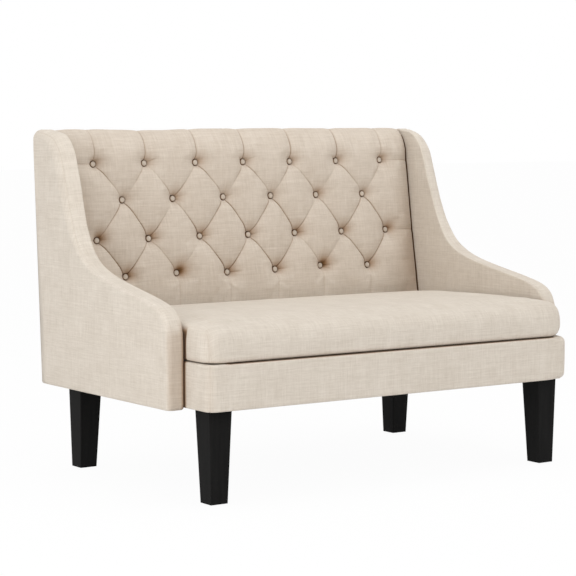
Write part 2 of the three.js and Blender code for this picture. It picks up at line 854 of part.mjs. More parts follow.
// The same outline run on past the foot and the rear edge, which stay square.
function wingOverrunOutline() {
  const beyond = wingEdgeRadius + cutOverrun;
  return [
    [rearY + beyond, overallHeight],
    [rearY - wingTopCornerRadius, overallHeight],
    ...wingSlope(),
    [frontY + wingSetback, wingFootZ - beyond],
    [rearY + beyond, wingFootZ - beyond],
  ];
}

// Points of the wing's sloping edge from behind its top down to its nose.
function wingSlope() {
  const slope = wingSlopeShares.map(([depthShare, heightShare]) => new THREE.Vector2(
    frontY + wingSetback + depthShare * wingDepth,
    wingFootZ + heightShare * wingHeight,
  ));
  slope.push(new THREE.Vector2(rearY - wingTopCornerRadius, overallHeight));
  const curve = new THREE.SplineCurve(slope).getPoints(slopeSteps);
  return curve.reverse().slice(1).map((point) => [point.x, point.y]);
}

// An outline, turned anticlockwise, with every edge moved in by one distance.
function insetOutline(outline, distance) {
  return outline.map((point, i) => {
    const before = outline.at(i - 1);
    const after = outline[(i + 1) % outline.length];
    const here = new THREE.Vector2(...point);
    const incoming = here.clone().sub(new THREE.Vector2(...before)).normalize();
    const outgoing = new THREE.Vector2(...after).sub(here).normalize();
    const inward = new THREE.Vector2(
      -(incoming.y + outgoing.y),
      incoming.x + outgoing.x,
    ).normalize();
    const reach = distance / (inward.x * -incoming.y + inward.y * incoming.x);
    return [here.x + inward.x * reach, here.y + inward.y * reach];
  });
}

// One layer of a wing, its skin moved in by one distance, round along its sloping edge.
function wingLayer([fromX, toX], inset) {
  const radius = Math.min(wingEdgeRadius, wingThickness / 2 - jointGap) - inset;
  const round = extrudeAcross(
    insetOutline(wingOverrunOutline(), inset), fromX + inset, toX - inset, radius,
  );
  return intersect(round, extrudeAcross(insetOutline(wingOutline(), inset), fromX, toX));
}

// The bottom opening of a wing layer, from its front edge to its rear one.
function wingMouth([fromX, toX], sideInset, inset) {
  return boxBetween(
    [fromX + sideInset, toX - sideInset],
    [frontY + wingSetback + wingEdgeRadius, rearLineY(wingFootZ) - inset - jointGap],
    [wingFootZ - cutOverrun, wingFootZ + inset + cutOverrun / 2],
  );
}

function addWings() {
  const foamInset = wingCoverThickness + jointGap;
  const boardInset = foamInset + wingEdgePadding;
  const boardSide = (wingThickness - wingBoardThickness) / 2;
  const bores = wingBoltBores();
  for (const [place, side] of sides) {
    const range = rangeOnSide(side, wingInnerX, overallWidth / 2);
    const slab = (inset, sideInset) => extrudeAcross(
      insetOutline(wingOutline(), inset), range[0] + sideInset, range[1] - sideInset,
    );
    const cover = cut(
      wingLayer(range, 0),
      wingLayer(range, wingCoverThickness),
      wingMouth(range, wingEdgeRadius / 2, wingCoverThickness),
      ...bores,
    );
    addPiece(`wing_cover_${place}`, cover, linen);
    const pad = cut(
      wingLayer(range, foamInset),
      slab(boardInset - jointGap, boardSide - jointGap),
      wingMouth(range, boardSide - jointGap, boardInset),
      ...bores,
    );
    addPiece(`wing_foam_${place}`, pad, foam);
    addPiece(`wing_board_${place}`, cut(slab(boardInset, boardSide), ...bores), plywood);
  }
}

// Buttons: long rows have one on the middle line, short rows lie half a pitch beside it.
const rowZs = buttonRowShares.map((share) => topRowZ - share * buttonRowsHeight);
const longRowReach = Math.floor((seatBoxHalfWidth - buttonSideMargin) / buttonPitch);

function rowXs(row) {
  const count = row % 2 === 0 ? 2 * longRowReach + 1 : 2 * longRowReach;
  return Array.from({ length: count }, (_, i) => (i - (count - 1) / 2) * buttonPitch);
}

const rows = rowZs.map((z, row) => ({ z, xs: rowXs(row) }));
const buttons = rows.flatMap(({ z, xs }) => xs.map((x) => new THREE.Vector2(x, z)));

// Sewn folds between the buttons, up over the top, down to the seat and out to the wings.
const pleats = [];

function addPleat(x0, z0, x1, z1, depthShare) {
  const line = new THREE.Line3(new THREE.Vector3(x0, z0, 0), new THREE.Vector3(x1, z1, 0));
  pleats.push({ line, depthShare });
}

rows.slice(1).forEach((row, i) => {
  const above = rows[i];
  for (const x0 of above.xs) {
    for (const x1 of row.xs.filter((x) => Math.abs(x - x0) < buttonPitch)) {
      addPleat(x0, above.z, x1, row.z, pleatDepthShare);
    }
  }
});
for (const x of rows[0].xs) {
  addPleat(x, rows[0].z, x, rows[0].z + overallHeight, upperPleatDepthShare);
}
for (const x of rows.at(-1).xs) {
  addPleat(x, rows.at(-1).z, x, 0, lowerPleatDepthShare);
}
for (const { z, xs } of rows.filter((_, i) => i % 2 === 0)) {
  addPleat(xs[0], z, -overallWidth, z, pleatDepthShare);
  addPleat(xs.at(-1), z, overallWidth, z, pleatDepthShare);
}

// How far the puffed cover stands in front of the plane of the buttons.
function puffAt(x, z) {
  const place = new THREE.Vector3(x, z, 0);
  const nearest = new THREE.Vector3();
  let height = puffHeight;
  for (const { line, depthShare } of pleats) {
    const distance = line.closestPointToPoint(place, true, nearest).distanceTo(place);
    height *= 1 - depthShare * (1 - Math.min(distance / puffReach, 1)) ** 2;
  }
  for (const button of buttons) {
    const distance = Math.hypot(x - button.x, z - button.y);
    height *= 1 - Math.exp(-((distance / buttonDimpleRadius) ** 2));
  }
  const fromSide = Math.min((seatBoxHalfWidth - Math.abs(x)) / sidePuffReach, 1);
  return height * (sidePuffShare + (1 - sidePuffShare) * Math.sin(quarter * fromSide));
}

// Puffs die away towards the seat below the last row.
function lowerFade(z) {
  const share = Math.min((z - backCoverBottomZ) / (rowZs.at(-1) - backCoverBottomZ), 1);
  return lowerPuffShare + (1 - lowerPuffShare) * share;
}

// Side profile of the back's cover from the seat up and over to its rear edge.
const backRearY = rearY - outsideBackThickness - jointGap;
const rollBottomZ = topRowZ + backRollStart;

function profilePlane() {
  const levels = [];
  for (let i = 0; i < tuftSteps; i += 1) {
    levels.push(backCoverBottomZ + (rowZs.at(-1) - backCoverBottomZ) * i / tuftSteps);
  }
  for (let row = rowZs.length - 1; row > 0; row -= 1) {
    for (let i = 0; i < tuftSteps; i += 1) {
      levels.push(rowZs[row] + (rowZs[row - 1] - rowZs[row]) * i / tuftSteps);
    }
  }
  levels.push(topRowZ);
  return levels.map((z) => ({
    y: buttonPlaneY(z),
    z,
    level: z,
    fade: lowerFade(z),
    outY: -Math.cos(leanAngle),
    outZ: Math.sin(leanAngle),
  }));
}

function profileRoll() {
  const startY = buttonPlaneY(rollBottomZ);
  let level = rollBottomZ;
  return backRollShares.slice(1).map(([depthShare, heightShare], i) => {
    const [lastDepth, lastHeight] = backRollShares[i];
    const depth = backRearY - startY;
    const height = backTopZ - rollBottomZ;
    level += Math.hypot((depthShare - lastDepth) * depth, (heightShare - lastHeight) * height);
    const turn = leanAngle + (quarter - leanAngle) * (i + 1) / (backRollShares.length - 1);
    return {
      y: startY + depthShare * depth,
      z: rollBottomZ + heightShare * height,
      level,
      fade: 1 - (1 - topPuffShare) * (i + 1) / (backRollShares.length - 1),
      outY: -Math.cos(turn),
      outZ: Math.sin(turn),
    };
  });
}

const backProfile = [...profilePlane(), ...profileRoll()];

// The profile moved in by one distance, from a level below the cover to its rear edge.
function innerProfile(inset, bottomZ) {
  const inner = backProfile.slice(1, -1).map(({ y, z, outY, outZ }) => (
    [y - inset * outY, z - inset * outZ]
  ));
  const plane = inset / Math.cos(leanAngle);
  return [
    [buttonPlaneY(bottomZ) + plane, bottomZ],
    ...inner,
    [backRearY - inset, backTopZ - inset],
  ];
}

// One section of the buttoned cover: its puffed front, then its rear down to the seat.
function coverSection(x) {
  const front = backProfile.map(({ y, z, level, fade, outY, outZ }, i) => {
    const atEnd = i === backProfile.length - 1;
    const puff = atEnd ? 0 : puffAt(x, level) * fade;
    return new THREE.Vector3(x, y + puff * outY, z + (atEnd ? 0 : puff * outZ));
  });
  const capped = front.map((point) => point.setZ(Math.min(point.z, backTopZ)));
  capped[0].setZ(backCoverBottomZ);
  const rear = [rakeBreakZ, backCoverBottomZ].map((z) => (
    new THREE.Vector3(x, rearLineY(z) - outsideBackThickness - jointGap, z)
  ));
  return [...capped, ...rear];
}

// Stations across the back: thirds of half a pitch, then out to the wings.
function coverStations() {
  const reach = longRowReach * buttonPitch;
  const step = buttonPitch / 2 / tuftSteps;
  const count = Math.round(2 * reach / step);
  const inner = Array.from({ length: count + 1 }, (_, i) => -reach + i * step);
  const outer = (reach + seatBoxHalfWidth) / 2;
  return [-seatBoxHalfWidth, -outer, ...inner, outer, seatBoxHalfWidth];
}

// The room inside the cover, open below and behind.
function coverRoom() {
  const bottomZ = backCoverBottomZ - cutOverrun;
  const outline = [
    ...innerProfile(backCoverThickness, bottomZ),
    [backRearY - backCoverThickness, rakeBreakZ],
    [rearY + cutOverrun, rakeBreakZ],
    [rearY + cutOverrun, bottomZ],
  ];
  const halfWidth = frameHalfWidth + jointGap;
  return extrudeAcross(outline, -halfWidth, halfWidth);
}

// The way into the back along a button's stem.
const inwardAtButton = new THREE.Vector3(0, Math.cos(leanAngle), -Math.sin(leanAngle));

function atButton(x, z, distance) {
  return new THREE.Vector3(x, buttonPlaneY(z), z).addScaledVector(inwardAtButton, distance);
}

function stemBores() {
  return rows.flatMap(({ z, xs }) => xs.map((x) => barBetween(
    atButton(x, z, -puffHeight),
    atButton(x, z, frameOffset + puffHeight),
    stemHoleRadius,
    boreSides,
  )));
}

function addBackUpholstery() {
  const bores = [...stemBores(), ...wingBoltBores()];
  const body = loft(coverStations().map(coverSection));
  addPiece('back_cover', cut(body, coverRoom(), ...bores), linen);
  const bottomZ = backCoverBottomZ;
  const boardFrontY = (z) => buttonPlaneY(z) + boardOffset;
  const boardTopZ = topRowZ + backBoardAboveButtons;
  const railFrontY = (z) => buttonPlaneY(z) + frameOffset;
  const pad = [
    ...innerProfile(backCoverThickness + jointGap, bottomZ),
    [frameRearY(backFrameTopZ), backFrameTopZ + jointGap],
    [railFrontY(backFrameTopZ) - 2 * jointGap, backFrameTopZ + jointGap],
    [railFrontY(boardTopZ) - 2 * jointGap, boardTopZ + jointGap],
    [boardFrontY(boardTopZ) - jointGap, boardTopZ + jointGap],
    [boardFrontY(bottomZ) - jointGap, bottomZ],
  ];
  const stems = stemBores();
  addPiece('back_foam', cut(extrudeAcross(pad, -frameHalfWidth, frameHalfWidth), ...stems), foam);
  const board = [
    [boardFrontY(bottomZ), bottomZ],
    [boardFrontY(bottomZ) + backBoardThickness, bottomZ],
    [boardFrontY(boardTopZ) + backBoardThickness, boardTopZ],
    [boardFrontY(boardTopZ), boardTopZ],
  ];
  const drilled = cut(extrudeAcross(board, -frameHalfWidth, frameHalfWidth), ...stems);
  addPiece('back_board', drilled, plywood);
}

// A button with its stem, standing at the plane of the buttons.
function buttonGeometry(x, z) {
  const rim = buttonStandOff + buttonRim;
  const stemEnd = frameOffset + twineRadius;
  const shape = turned([
    [0, -rim - buttonDome],
    [buttonRadius * Math.SQRT1_2, -rim - buttonDome * Math.SQRT1_2],
    [buttonRadius, -rim],
    [buttonRadius - buttonRim / 2, -buttonStandOff],
    [stemRadius, -buttonStandOff],
    [stemRadius, stemEnd],
    [0, stemEnd],
  ], buttonSides);
  shape.applyQuaternion(new THREE.Quaternion().setFromUnitVectors(upward, inwardAtButton));
  const place = atButton(x, z, 0);
  return shape.translate(place.x, place.y, place.z);
}

// Each row hangs on one twine behind the board.
function addButtons() {
  rows.forEach(({ z, xs }, row) => {
    const behind = frameOffset + twineRadius;
    const twine = barBetween(
      atButton(xs[0] - buttonRadius, z, behind),
      atButton(xs.at(-1) + buttonRadius, z, behind),
      twineRadius,
      boreSides,
    );
    const strung = join(twine, ...xs.map((x) => buttonGeometry(x, z)));
    addPiece(`button_row_${row + 1}`, strung, linen);
  });
}

function addBackFrame() {
  const bores = [...wingBoltBores(), ...postBoltBores()];
  const frontAt = (z) => buttonPlaneY(z) + frameOffset;
  const post = [
    [postFrontLowY, frameBottomZ],
    [rearRailRearY, frameBottomZ],
    [frameRearY(rakeBreakZ), rakeBreakZ],
    [frameRearY(backFrameTopZ), backFrameTopZ],
    [frontAt(backFrameTopZ), backFrameTopZ],
    [frontAt(railTopZ), railTopZ],
  ];
  const postInnerX = frameHalfWidth - postThickness;
  for (const [place, side] of sides) {
    const body = extrudeAcross(post, ...rangeOnSide(side, postInnerX, frameHalfWidth));
    addPiece(`back_post_${place}`, cut(body, ...bores), birch);
  }
  const railBetween = (bottomZ, topZ) => extrudeAcross([
    [frontAt(bottomZ), bottomZ],
    [frontAt(bottomZ) + backRailThickness, bottomZ],
    [frontAt(topZ) + backRailThickness, topZ],
    [frontAt(topZ), topZ],
  ], jointGap - postInnerX, postInnerX - jointGap);
  addPiece('back_top_rail', railBetween(backFrameTopZ - topRailHeight, backFrameTopZ), birch);
  const lowerRailTopZ = backCoverBottomZ + lowerRailHeight;
  addPiece('back_lower_rail', railBetween(backCoverBottomZ, lowerRailTopZ), birch);
}

// The outside back closes the rear between the wings.
function addOutsideBack() {
  const topZ = backTopZ - outsideBackTopDrop;
  const levels = [undersideZ, rakeBreakZ, topZ];
  const outline = [
    ...levels.map((z) => [rearLineY(z), z]),
    ...levels.reverse().map((z) => [rearLineY(z) - outsideBackThickness, z]),
  ];
  addPiece('outside_back', extrudeAcross(outline, -seatBoxHalfWidth, seatBoxHalfWidth), linen);
}

addLegs();
addSeatBox();
addSprings();
addSeat();
addBackFrame();
addBackUpholstery();
addButtons();
addOutsideBack();
addWings();
addBolts();

export default settee;
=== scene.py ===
import bisect
import json
import math

import bmesh
import bpy
from mathutils import Matrix, Vector, noise
from mathutils.kdtree import KDTree


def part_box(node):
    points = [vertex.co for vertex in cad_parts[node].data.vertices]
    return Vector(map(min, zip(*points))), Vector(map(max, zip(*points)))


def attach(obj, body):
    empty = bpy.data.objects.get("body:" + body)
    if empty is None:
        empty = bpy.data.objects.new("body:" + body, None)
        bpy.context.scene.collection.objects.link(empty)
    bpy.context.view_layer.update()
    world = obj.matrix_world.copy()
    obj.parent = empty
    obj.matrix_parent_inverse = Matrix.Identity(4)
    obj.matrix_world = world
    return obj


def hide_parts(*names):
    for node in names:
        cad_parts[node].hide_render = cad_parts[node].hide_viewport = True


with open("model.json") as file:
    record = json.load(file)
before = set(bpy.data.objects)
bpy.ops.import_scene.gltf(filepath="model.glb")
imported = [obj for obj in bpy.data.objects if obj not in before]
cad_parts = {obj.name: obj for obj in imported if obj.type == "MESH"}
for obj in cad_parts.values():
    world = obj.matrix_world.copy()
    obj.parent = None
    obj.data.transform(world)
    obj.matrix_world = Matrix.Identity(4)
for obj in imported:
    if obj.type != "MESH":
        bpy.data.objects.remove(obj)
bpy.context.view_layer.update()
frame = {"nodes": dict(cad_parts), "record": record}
scene = bpy.context.scene

# Overall sizes.
WIDTH = 1.257
FRONT_Y = -0.3935
REAR_Y = 0.3935
TOP_Z = 0.903
UNDERSIDE_Z = 0.2321
SEAM_Z = 0.3469
WING_INNER_X = 0.580
WING_FOOT_Z = 0.2291
BREAK_Z = 0.850
RAKE = 0.036

# Clearance kept between soft pieces that touch, and the solids' own gap at a joint.
EASE = 0.0006
JOINT_GAP = 0.0003
# Half the width that the soft pieces fill between the wings.
INNER_HALF = WING_INNER_X - JOINT_GAP - EASE
# Points nearer to each other than this become one.
MERGE = 0.00002

LEG_PLACES = ("front_left", "front_right", "rear_left", "rear_right")

# Rows of buttons, on a plane that leans back.
BACK_SLOPE = 0.129
LEAN = math.atan(BACK_SLOPE)
BUTTONS_FROM_REAR = 0.0568
PITCH = 0.1614
ROW_Z = (0.8122, 0.7157, 0.6092, 0.5096)
SEVEN_BUTTONS = tuple(k * PITCH for k in range(-3, 4))
SIX_BUTTONS = tuple((k + 0.5) * PITCH for k in range(-3, 3))
ROW_X = (SEVEN_BUTTONS, SIX_BUTTONS, SEVEN_BUTTONS, SIX_BUTTONS)
# How far each button was pulled aside and up by hand, in millimetres.
BUTTON_SHIFT = (
    ((1.4, -2.1), (-1.4, -1.5), (1.1, -1.5), (-2.2, -1.4), (-4.0, -2.3), (-2.0, -2.3), (-4.4, -1.3)),
    ((2.9, -2.7), (0.7, -2.1), (4.0, -1.5), (2.8, -1.3), (-0.8, -1.7), (3.6, -2.3)),
    ((-3.3, -2.4), (-3.6, -2.1), (-1.1, -0.6), (-1.7, -1.4), (-4.0, -1.7), (0.0, -2.3), (-1.2, -2.0)),
    ((-3.6, -2.4), (-4.3, 1.5), (0.0, -3.3), (0.0, -2.0), (-4.0, 2.3), (3.6, -2.6)),
)
BUTTON_ROWS = tuple(
    tuple((x + aside / 1000, z + rise / 1000) for x, (aside, rise) in zip(xs, shifts))
    for xs, z, shifts in zip(ROW_X, ROW_Z, BUTTON_SHIFT)
)


def rear_face_y(z):
    """The outer rear face of the settee at a level."""
    below = max(BREAK_Z - z, 0)
    return REAR_Y - RAKE * below / (BREAK_Z - UNDERSIDE_Z)


def button_plane_y(z):
    """The plane that the buttons sit on, at a level."""
    return REAR_Y - BUTTONS_FROM_REAR - BACK_SLOPE * (ROW_Z[0] - z)


def smoothstep(low, high, value):
    """Runs smoothly from 0 at one value to 1 at the other, which may be the lower one."""
    share = min(max((value - low) / (high - low), 0), 1)
    return share * share * (3 - 2 * share)


def bell(distance, reach):
    """1 at no distance, falling off on both sides like a bell."""
    return math.exp(-((distance / reach) ** 2))


def looked_up(table, place):
    """The value that a table of (place, value) rows gives at a place."""
    for (low, before), (high, after) in zip(table, table[1:]):
        if place < high:
            return before + (after - before) * min(max((place - low) / (high - low), 0), 1)
    return table[-1][1]


# ---------------------------------------------------------------- finishes
def new_finish(name):
    material = bpy.data.materials.new(name)
    material.use_nodes = True
    tree = material.node_tree
    shader = tree.nodes["Principled BSDF"]
    return material, tree, shader


def link(tree, source, target):
    tree.links.new(source, target)


def scaled_coords(tree, source, scale):
    mapping = tree.nodes.new("ShaderNodeMapping")
    mapping.inputs["Scale"].default_value = scale
    link(tree, source, mapping.inputs["Vector"])
    return mapping.outputs["Vector"]


def set_values(node, values):
    for socket, value in values.items():
        node.inputs[socket].default_value = value


def noise_of(tree, source, scale, detail, roughness):
    """A noise that is stretched along the axes of the coordinates."""
    texture = tree.nodes.new("ShaderNodeTexNoise")
    set_values(texture, {"Scale": 1.0, "Detail": detail, "Roughness": roughness})
    link(tree, scaled_coords(tree, source, scale), texture.inputs["Vector"])
    return texture.outputs["Fac"]


def ranged(tree, value, before, after=(0, 1)):
    """Carries a value from one range into another."""
    node = tree.nodes.new("ShaderNodeMapRange")
    set_values(node, dict(zip(("From Min", "From Max", "To Min", "To Max"), (*before, *after))))
    link(tree, value, node.inputs["Value"])
    return node.outputs["Result"]


def combined(tree, operation, first, second):
    """A sum, product or other result of two sockets or numbers."""
    node = tree.nodes.new("ShaderNodeMath")
    node.operation = operation
    for socket, value in zip(node.inputs, (first, second)):
        if isinstance(value, (int, float)):
            socket.default_value = value
        else:
            link(tree, value, socket)
    return node.outputs["Value"]


def mixed_colour(tree, factor, first, second):
    """Mixes two colours, each a socket or three numbers."""
    node = tree.nodes.new("ShaderNodeMix")
    node.data_type = "RGBA"
    link(tree, factor, node.inputs["Factor"])
    colour_sockets = (node.inputs[6], node.inputs[7])
    for socket, colour in zip(colour_sockets, (first, second)):
        if isinstance(colour, tuple):
            socket.default_value = (*colour, 1)
        else:
            link(tree, colour, socket)
    return node.outputs[2]


def bumped(tree, shader, height, distance):
    node = tree.nodes.new("ShaderNodeBump")
    set_values(node, {"Distance": distance, "Strength": 1.0})
    link(tree, height, node.inputs["Height"])
    link(tree, node.outputs["Normal"], shader.inputs["Normal"])


# The linen's streaks and its slubs and mottle: stretch, detail, roughness and share of each noise.
LINEN_STREAKS = (((38, 620, 1), 3.0, 0.6, 0.26), ((620, 38, 1), 3.0, 0.6, 0.22))
LINEN_SLUBS = (((9, 230, 1), 2.0, 0.5, 0.20), ((230, 11, 1), 2.0, 0.5, 0.16), ((15, 11, 1), 3.0, 0.6, 0.16))
LINEN_SHADE_REACH = 0.16
LINEN_SURFACE = {
    "Roughness": 0.88, "Specular IOR Level": 0.22, "Sheen Weight": 0.18, "Sheen Roughness": 0.55,
    "Sheen Tint": (1.0, 0.94, 0.86, 1),
}
THREAD = 0.0011
# Colours painted where shade falls, in folds, gaps and button wells: tan for light shade and brown for the
# deepest, with the range of the painted shade that each takes and its strength.
PAINTED_SHADE_TAN = (0.280, 0.125, 0.028)
PAINTED_TAN_RANGE, PAINTED_TAN_STRENGTH = (0, 0.75), (0, 0.92)
PAINTED_SHADE_BROWN = (0.085, 0.034, 0.005)
PAINTED_BROWN_RANGE, PAINTED_BROWN_STRENGTH = (0.5, 0.95), (0, 0.95)


def woven_linen(name, dark, light, contrast=1.0):
    """Plain weave with slubs along both threads, laid on the piece's cloth map."""
    material, tree, shader = new_finish(name)
    cloth = tree.nodes.new("ShaderNodeUVMap")
    cloth.uv_map = "cloth"
    at = cloth.outputs["UV"]

    def added(rows):
        total = 0.0
        for scale, detail, roughness, share in rows:
            part = combined(tree, "MULTIPLY", noise_of(tree, at, scale, detail, roughness), share)
            total = combined(tree, "ADD", total, part)
        return total

    streaks = added(LINEN_STREAKS)
    shade = combined(tree, "ADD", streaks, added(LINEN_SLUBS))
    low = 0.5 - LINEN_SHADE_REACH / contrast
    colour = mixed_colour(tree, ranged(tree, shade, (low, 1 - low)), dark, light)
    # Shade painted from the piece's own attribute, first tan and then brown.
    painted_shade = tree.nodes.new("ShaderNodeAttribute")
    painted_shade.attribute_name = "painted_shade"
    painted_tan_share = ranged(tree, painted_shade.outputs["Fac"], PAINTED_TAN_RANGE, PAINTED_TAN_STRENGTH)
    painted_brown_share = ranged(tree, painted_shade.outputs["Fac"], PAINTED_BROWN_RANGE, PAINTED_BROWN_STRENGTH)
    colour = mixed_colour(tree, painted_tan_share, colour, PAINTED_SHADE_TAN)
    colour = mixed_colour(tree, painted_brown_share, colour, PAINTED_SHADE_BROWN)
    link(tree, colour, shader.inputs["Base Color"])
    waves = []
    for axis in ("X", "Y"):
        wave = tree.nodes.new("ShaderNodeTexWave")
        wave.bands_direction = axis
        set_values(wave, {"Scale": 1 / THREAD / 20, "Distortion": 0.6, "Detail": 1.0})
        link(tree, scaled_coords(tree, at, (math.tau, math.tau, 1)), wave.inputs["Vector"])
        waves.append(wave.outputs["Fac"])
    weave = combined(tree, "MULTIPLY", combined(tree, "MULTIPLY", *waves), 0.5)
    bumped(tree, shader, combined(tree, "ADD", weave, streaks), 0.0006)
    set_values(shader, LINEN_SURFACE)
    return material


GRAIN_RANGE = (0.3, 0.7)


def grained(name, dark, light, stretch, bump, detail, unevenness):
    """A finish that runs between two tones along a noise on the object's coordinates."""
    material, tree, shader = new_finish(name)
    place = tree.nodes.new("ShaderNodeTexCoord").outputs["Object"]
    grain = noise_of(tree, place, stretch, detail, unevenness)
    link(tree, mixed_colour(tree, ranged(tree, grain, GRAIN_RANGE), dark, light), shader.inputs["Base Color"])
    bumped(tree, shader, grain, bump)
    return material, tree, shader, grain


def sawn_wood(name, dark, light, stretch):
    material, _, shader, _ = grained(name, dark, light, stretch, 0.0003, detail=4.0, unevenness=0.6)
    shader.inputs["Roughness"].default_value = 0.6
    return material


def plain_finish(name, dark, light, stretch, roughness, metal=0.0, bump=0.0001, specular=0.5):
    material, tree, shader, grain = grained(name, dark, light, stretch, bump, detail=3.0, unevenness=0.55)
    uneven = ranged(tree, grain, GRAIN_RANGE, (roughness - 0.04, roughness + 0.05))
    link(tree, uneven, shader.inputs["Roughness"])
    set_values(shader, {"Metallic": metal, "Specular IOR Level": specular})
    return material


linen = woven_linen("oatmeal_linen", (0.575, 0.503, 0.420), (0.762, 0.695, 0.610), contrast=1.3)
button_linen = woven_linen("button_linen", (0.50, 0.425, 0.345), (0.68, 0.605, 0.515))
black_lacquer = plain_finish(
    "satin_black_lacquer", (0.0068, 0.0066, 0.0064), (0.0112, 0.0108, 0.0105), (90, 90, 6),
    roughness=0.55, bump=0.00008, specular=0.05,
)
dark_glide = plain_finish(
    "dark_glide_plastic", (0.012, 0.011, 0.011), (0.022, 0.020, 0.019), (300, 300, 300), roughness=0.5,
)
zinc_steel = plain_finish(
    "zinc_plated_steel", (0.42, 0.43, 0.45), (0.58, 0.59, 0.60), (220, 220, 220), roughness=0.32, metal=1.0,
)
frame_timber = sawn_wood("frame_timber", (0.42, 0.27, 0.14), (0.62, 0.45, 0.27), (3, 60, 60))
board_ply = sawn_wood("board_plywood", (0.40, 0.26, 0.13), (0.58, 0.42, 0.24), (40, 3, 40))
cushion_foam = plain_finish(
    "cushion_foam", (0.70, 0.60, 0.34), (0.84, 0.76, 0.50), (400, 400, 400), roughness=0.9, bump=0.0006,
)
jute = plain_finish(
    "jute_deck_cloth", (0.26, 0.17, 0.08), (0.46, 0.34, 0.18), (500, 500, 20), roughness=0.95, bump=0.0006,
)
dust_cloth = plain_finish(
    "black_dust_cloth", (0.010, 0.010, 0.011), (0.024, 0.024, 0.026), (260, 260, 260),
    roughness=0.92, bump=0.0002,
)

slot_finish = {
    "linen": linen,
    "black_lacquer": black_lacquer,
    "dark_plastic": dark_glide,
    "steel": zinc_steel,
    "birch": frame_timber,
    "plywood": board_ply,
    "foam": cushion_foam,
    "burlap": jute,
    "black_cloth": dust_cloth,
}
for part in frame["record"]["subparts"]:
    solid = frame["nodes"][part["node"]]
    for holder in solid.material_slots:
        holder.material = slot_finish[part["material_slot"]]


# ---------------------------------------------------------------- making pieces
def new_piece(name, shape, finish, replaced=(), smooth=True):
    mesh = bpy.data.meshes.new(name)
    shape.to_mesh(mesh)
    shape.free()
    piece = bpy.data.objects.new(name, mesh)
    scene.collection.objects.link(piece)
    mesh.materials.append(finish)
    for face in mesh.polygons:
        face.use_smooth = smooth
    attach(piece, "root")
    if replaced:
        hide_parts(*replaced)
    return piece


def lined(piece, thickness):
    """Gives a piece of cloth its thickness, behind its face."""
    lining = piece.modifiers.new("lining", "SOLIDIFY")
    lining.thickness = thickness
    lining.offset = -1
    return piece


def faced(shape, way):
    """Turns an open piece of cloth so that its face looks one way."""
    bmesh.ops.recalc_face_normals(shape, faces=shape.faces)
    if sum(face.normal.dot(way) for face in shape.faces) < 0:
        bmesh.ops.reverse_faces(shape, faces=shape.faces)


def closed(shape):
    """Fills the open rims of a shape and turns its faces outwards."""
    bmesh.ops.holes_fill(shape, edges=[edge for edge in shape.edges if edge.is_boundary])
    bmesh.ops.recalc_face_normals(shape, faces=shape.faces)


def smoothed(shape):
    bmesh.ops.smooth_vert(
        shape, verts=shape.verts, factor=0.5, use_axis_x=True, use_axis_y=True, use_axis_z=True,
    )


def with_rims(faces):
    """Faces with their edges and corners, as bisect_plane takes them."""
    edges = {edge for face in faces for edge in face.edges}
    return [*faces, *edges, *{vert for face in faces for vert in face.verts}]


def painted_shade_layer(shape):
    """Where each point of the cloth keeps how much shade is painted on it."""
    layers = shape.verts.layers.float
    return layers.get("painted_shade") or layers.new("painted_shade")


def mapped_grid(columns, rows, place, cloth_at=None):
    """A grid whose vertices go where place(across, along) says, with shares from 0 to 1."""
    shape = bmesh.new()
    bmesh.ops.create_grid(shape, x_segments=columns, y_segments=rows, size=0.5)
    cloth = shape.loops.layers.uv.new("cloth")
    shares = {vert: (vert.co.x + 0.5, vert.co.y + 0.5) for vert in shape.verts}
    for vert, (across, along) in shares.items():
        vert.co = place(across, along)
    if cloth_at:
        for face in shape.faces:
            for loop in face.loops:
                loop[cloth].uv = cloth_at(*shares[loop.vert])
    return shape


def box_cloth_map(shape, offset=(0.0, 0.0)):
    """Lays the cloth's threads along the axes that each face looks across."""
    cloth = shape.loops.layers.uv.get("cloth") or shape.loops.layers.uv.new("cloth")
    for face in shape.faces:
        facing = [abs(part) for part in face.normal]
        for loop in face.loops:
            x, y, z = loop.vert.co
            if facing[0] >= max(facing[1], facing[2]):
                uv = (y, z)
            elif facing[1] >= facing[2]:
                uv = (x, z)
            else:
                uv = (x, y)
            loop[cloth].uv = (uv[0] + offset[0], uv[1] + offset[1])


def applied(piece, modifier):
    """Puts one modifier's result into the piece's mesh."""
    graph = bpy.context.evaluated_depsgraph_get()
    solid = piece.evaluated_get(graph)
    mesh = bpy.data.meshes.new_from_object(solid, preserve_all_data_layers=True, depsgraph=graph)
    piece.modifiers.remove(modifier)
    old = piece.data
    piece.data = mesh
    bpy.data.meshes.remove(old)
    return piece


def remeshed(shape, voxel, smoothing):
    """The shape's skin in even small faces, smoothed."""
    mesh = bpy.data.meshes.new("blank")
    shape.to_mesh(mesh)
    shape.free()
    blank = bpy.data.objects.new("blank", mesh)
    scene.collection.objects.link(blank)
    modifier = blank.modifiers.new("even", "REMESH")
    modifier.mode = "VOXEL"
    modifier.voxel_size = voxel
    modifier.adaptivity = 0
    applied(blank, modifier)
    even = bmesh.new()
    even.from_mesh(blank.data)
    bpy.data.objects.remove(blank)
    for _ in range(smoothing):
        smoothed(even)
    return even


SWELL_FRAMES = 20
CLOTH_STIFFNESS = 12.0


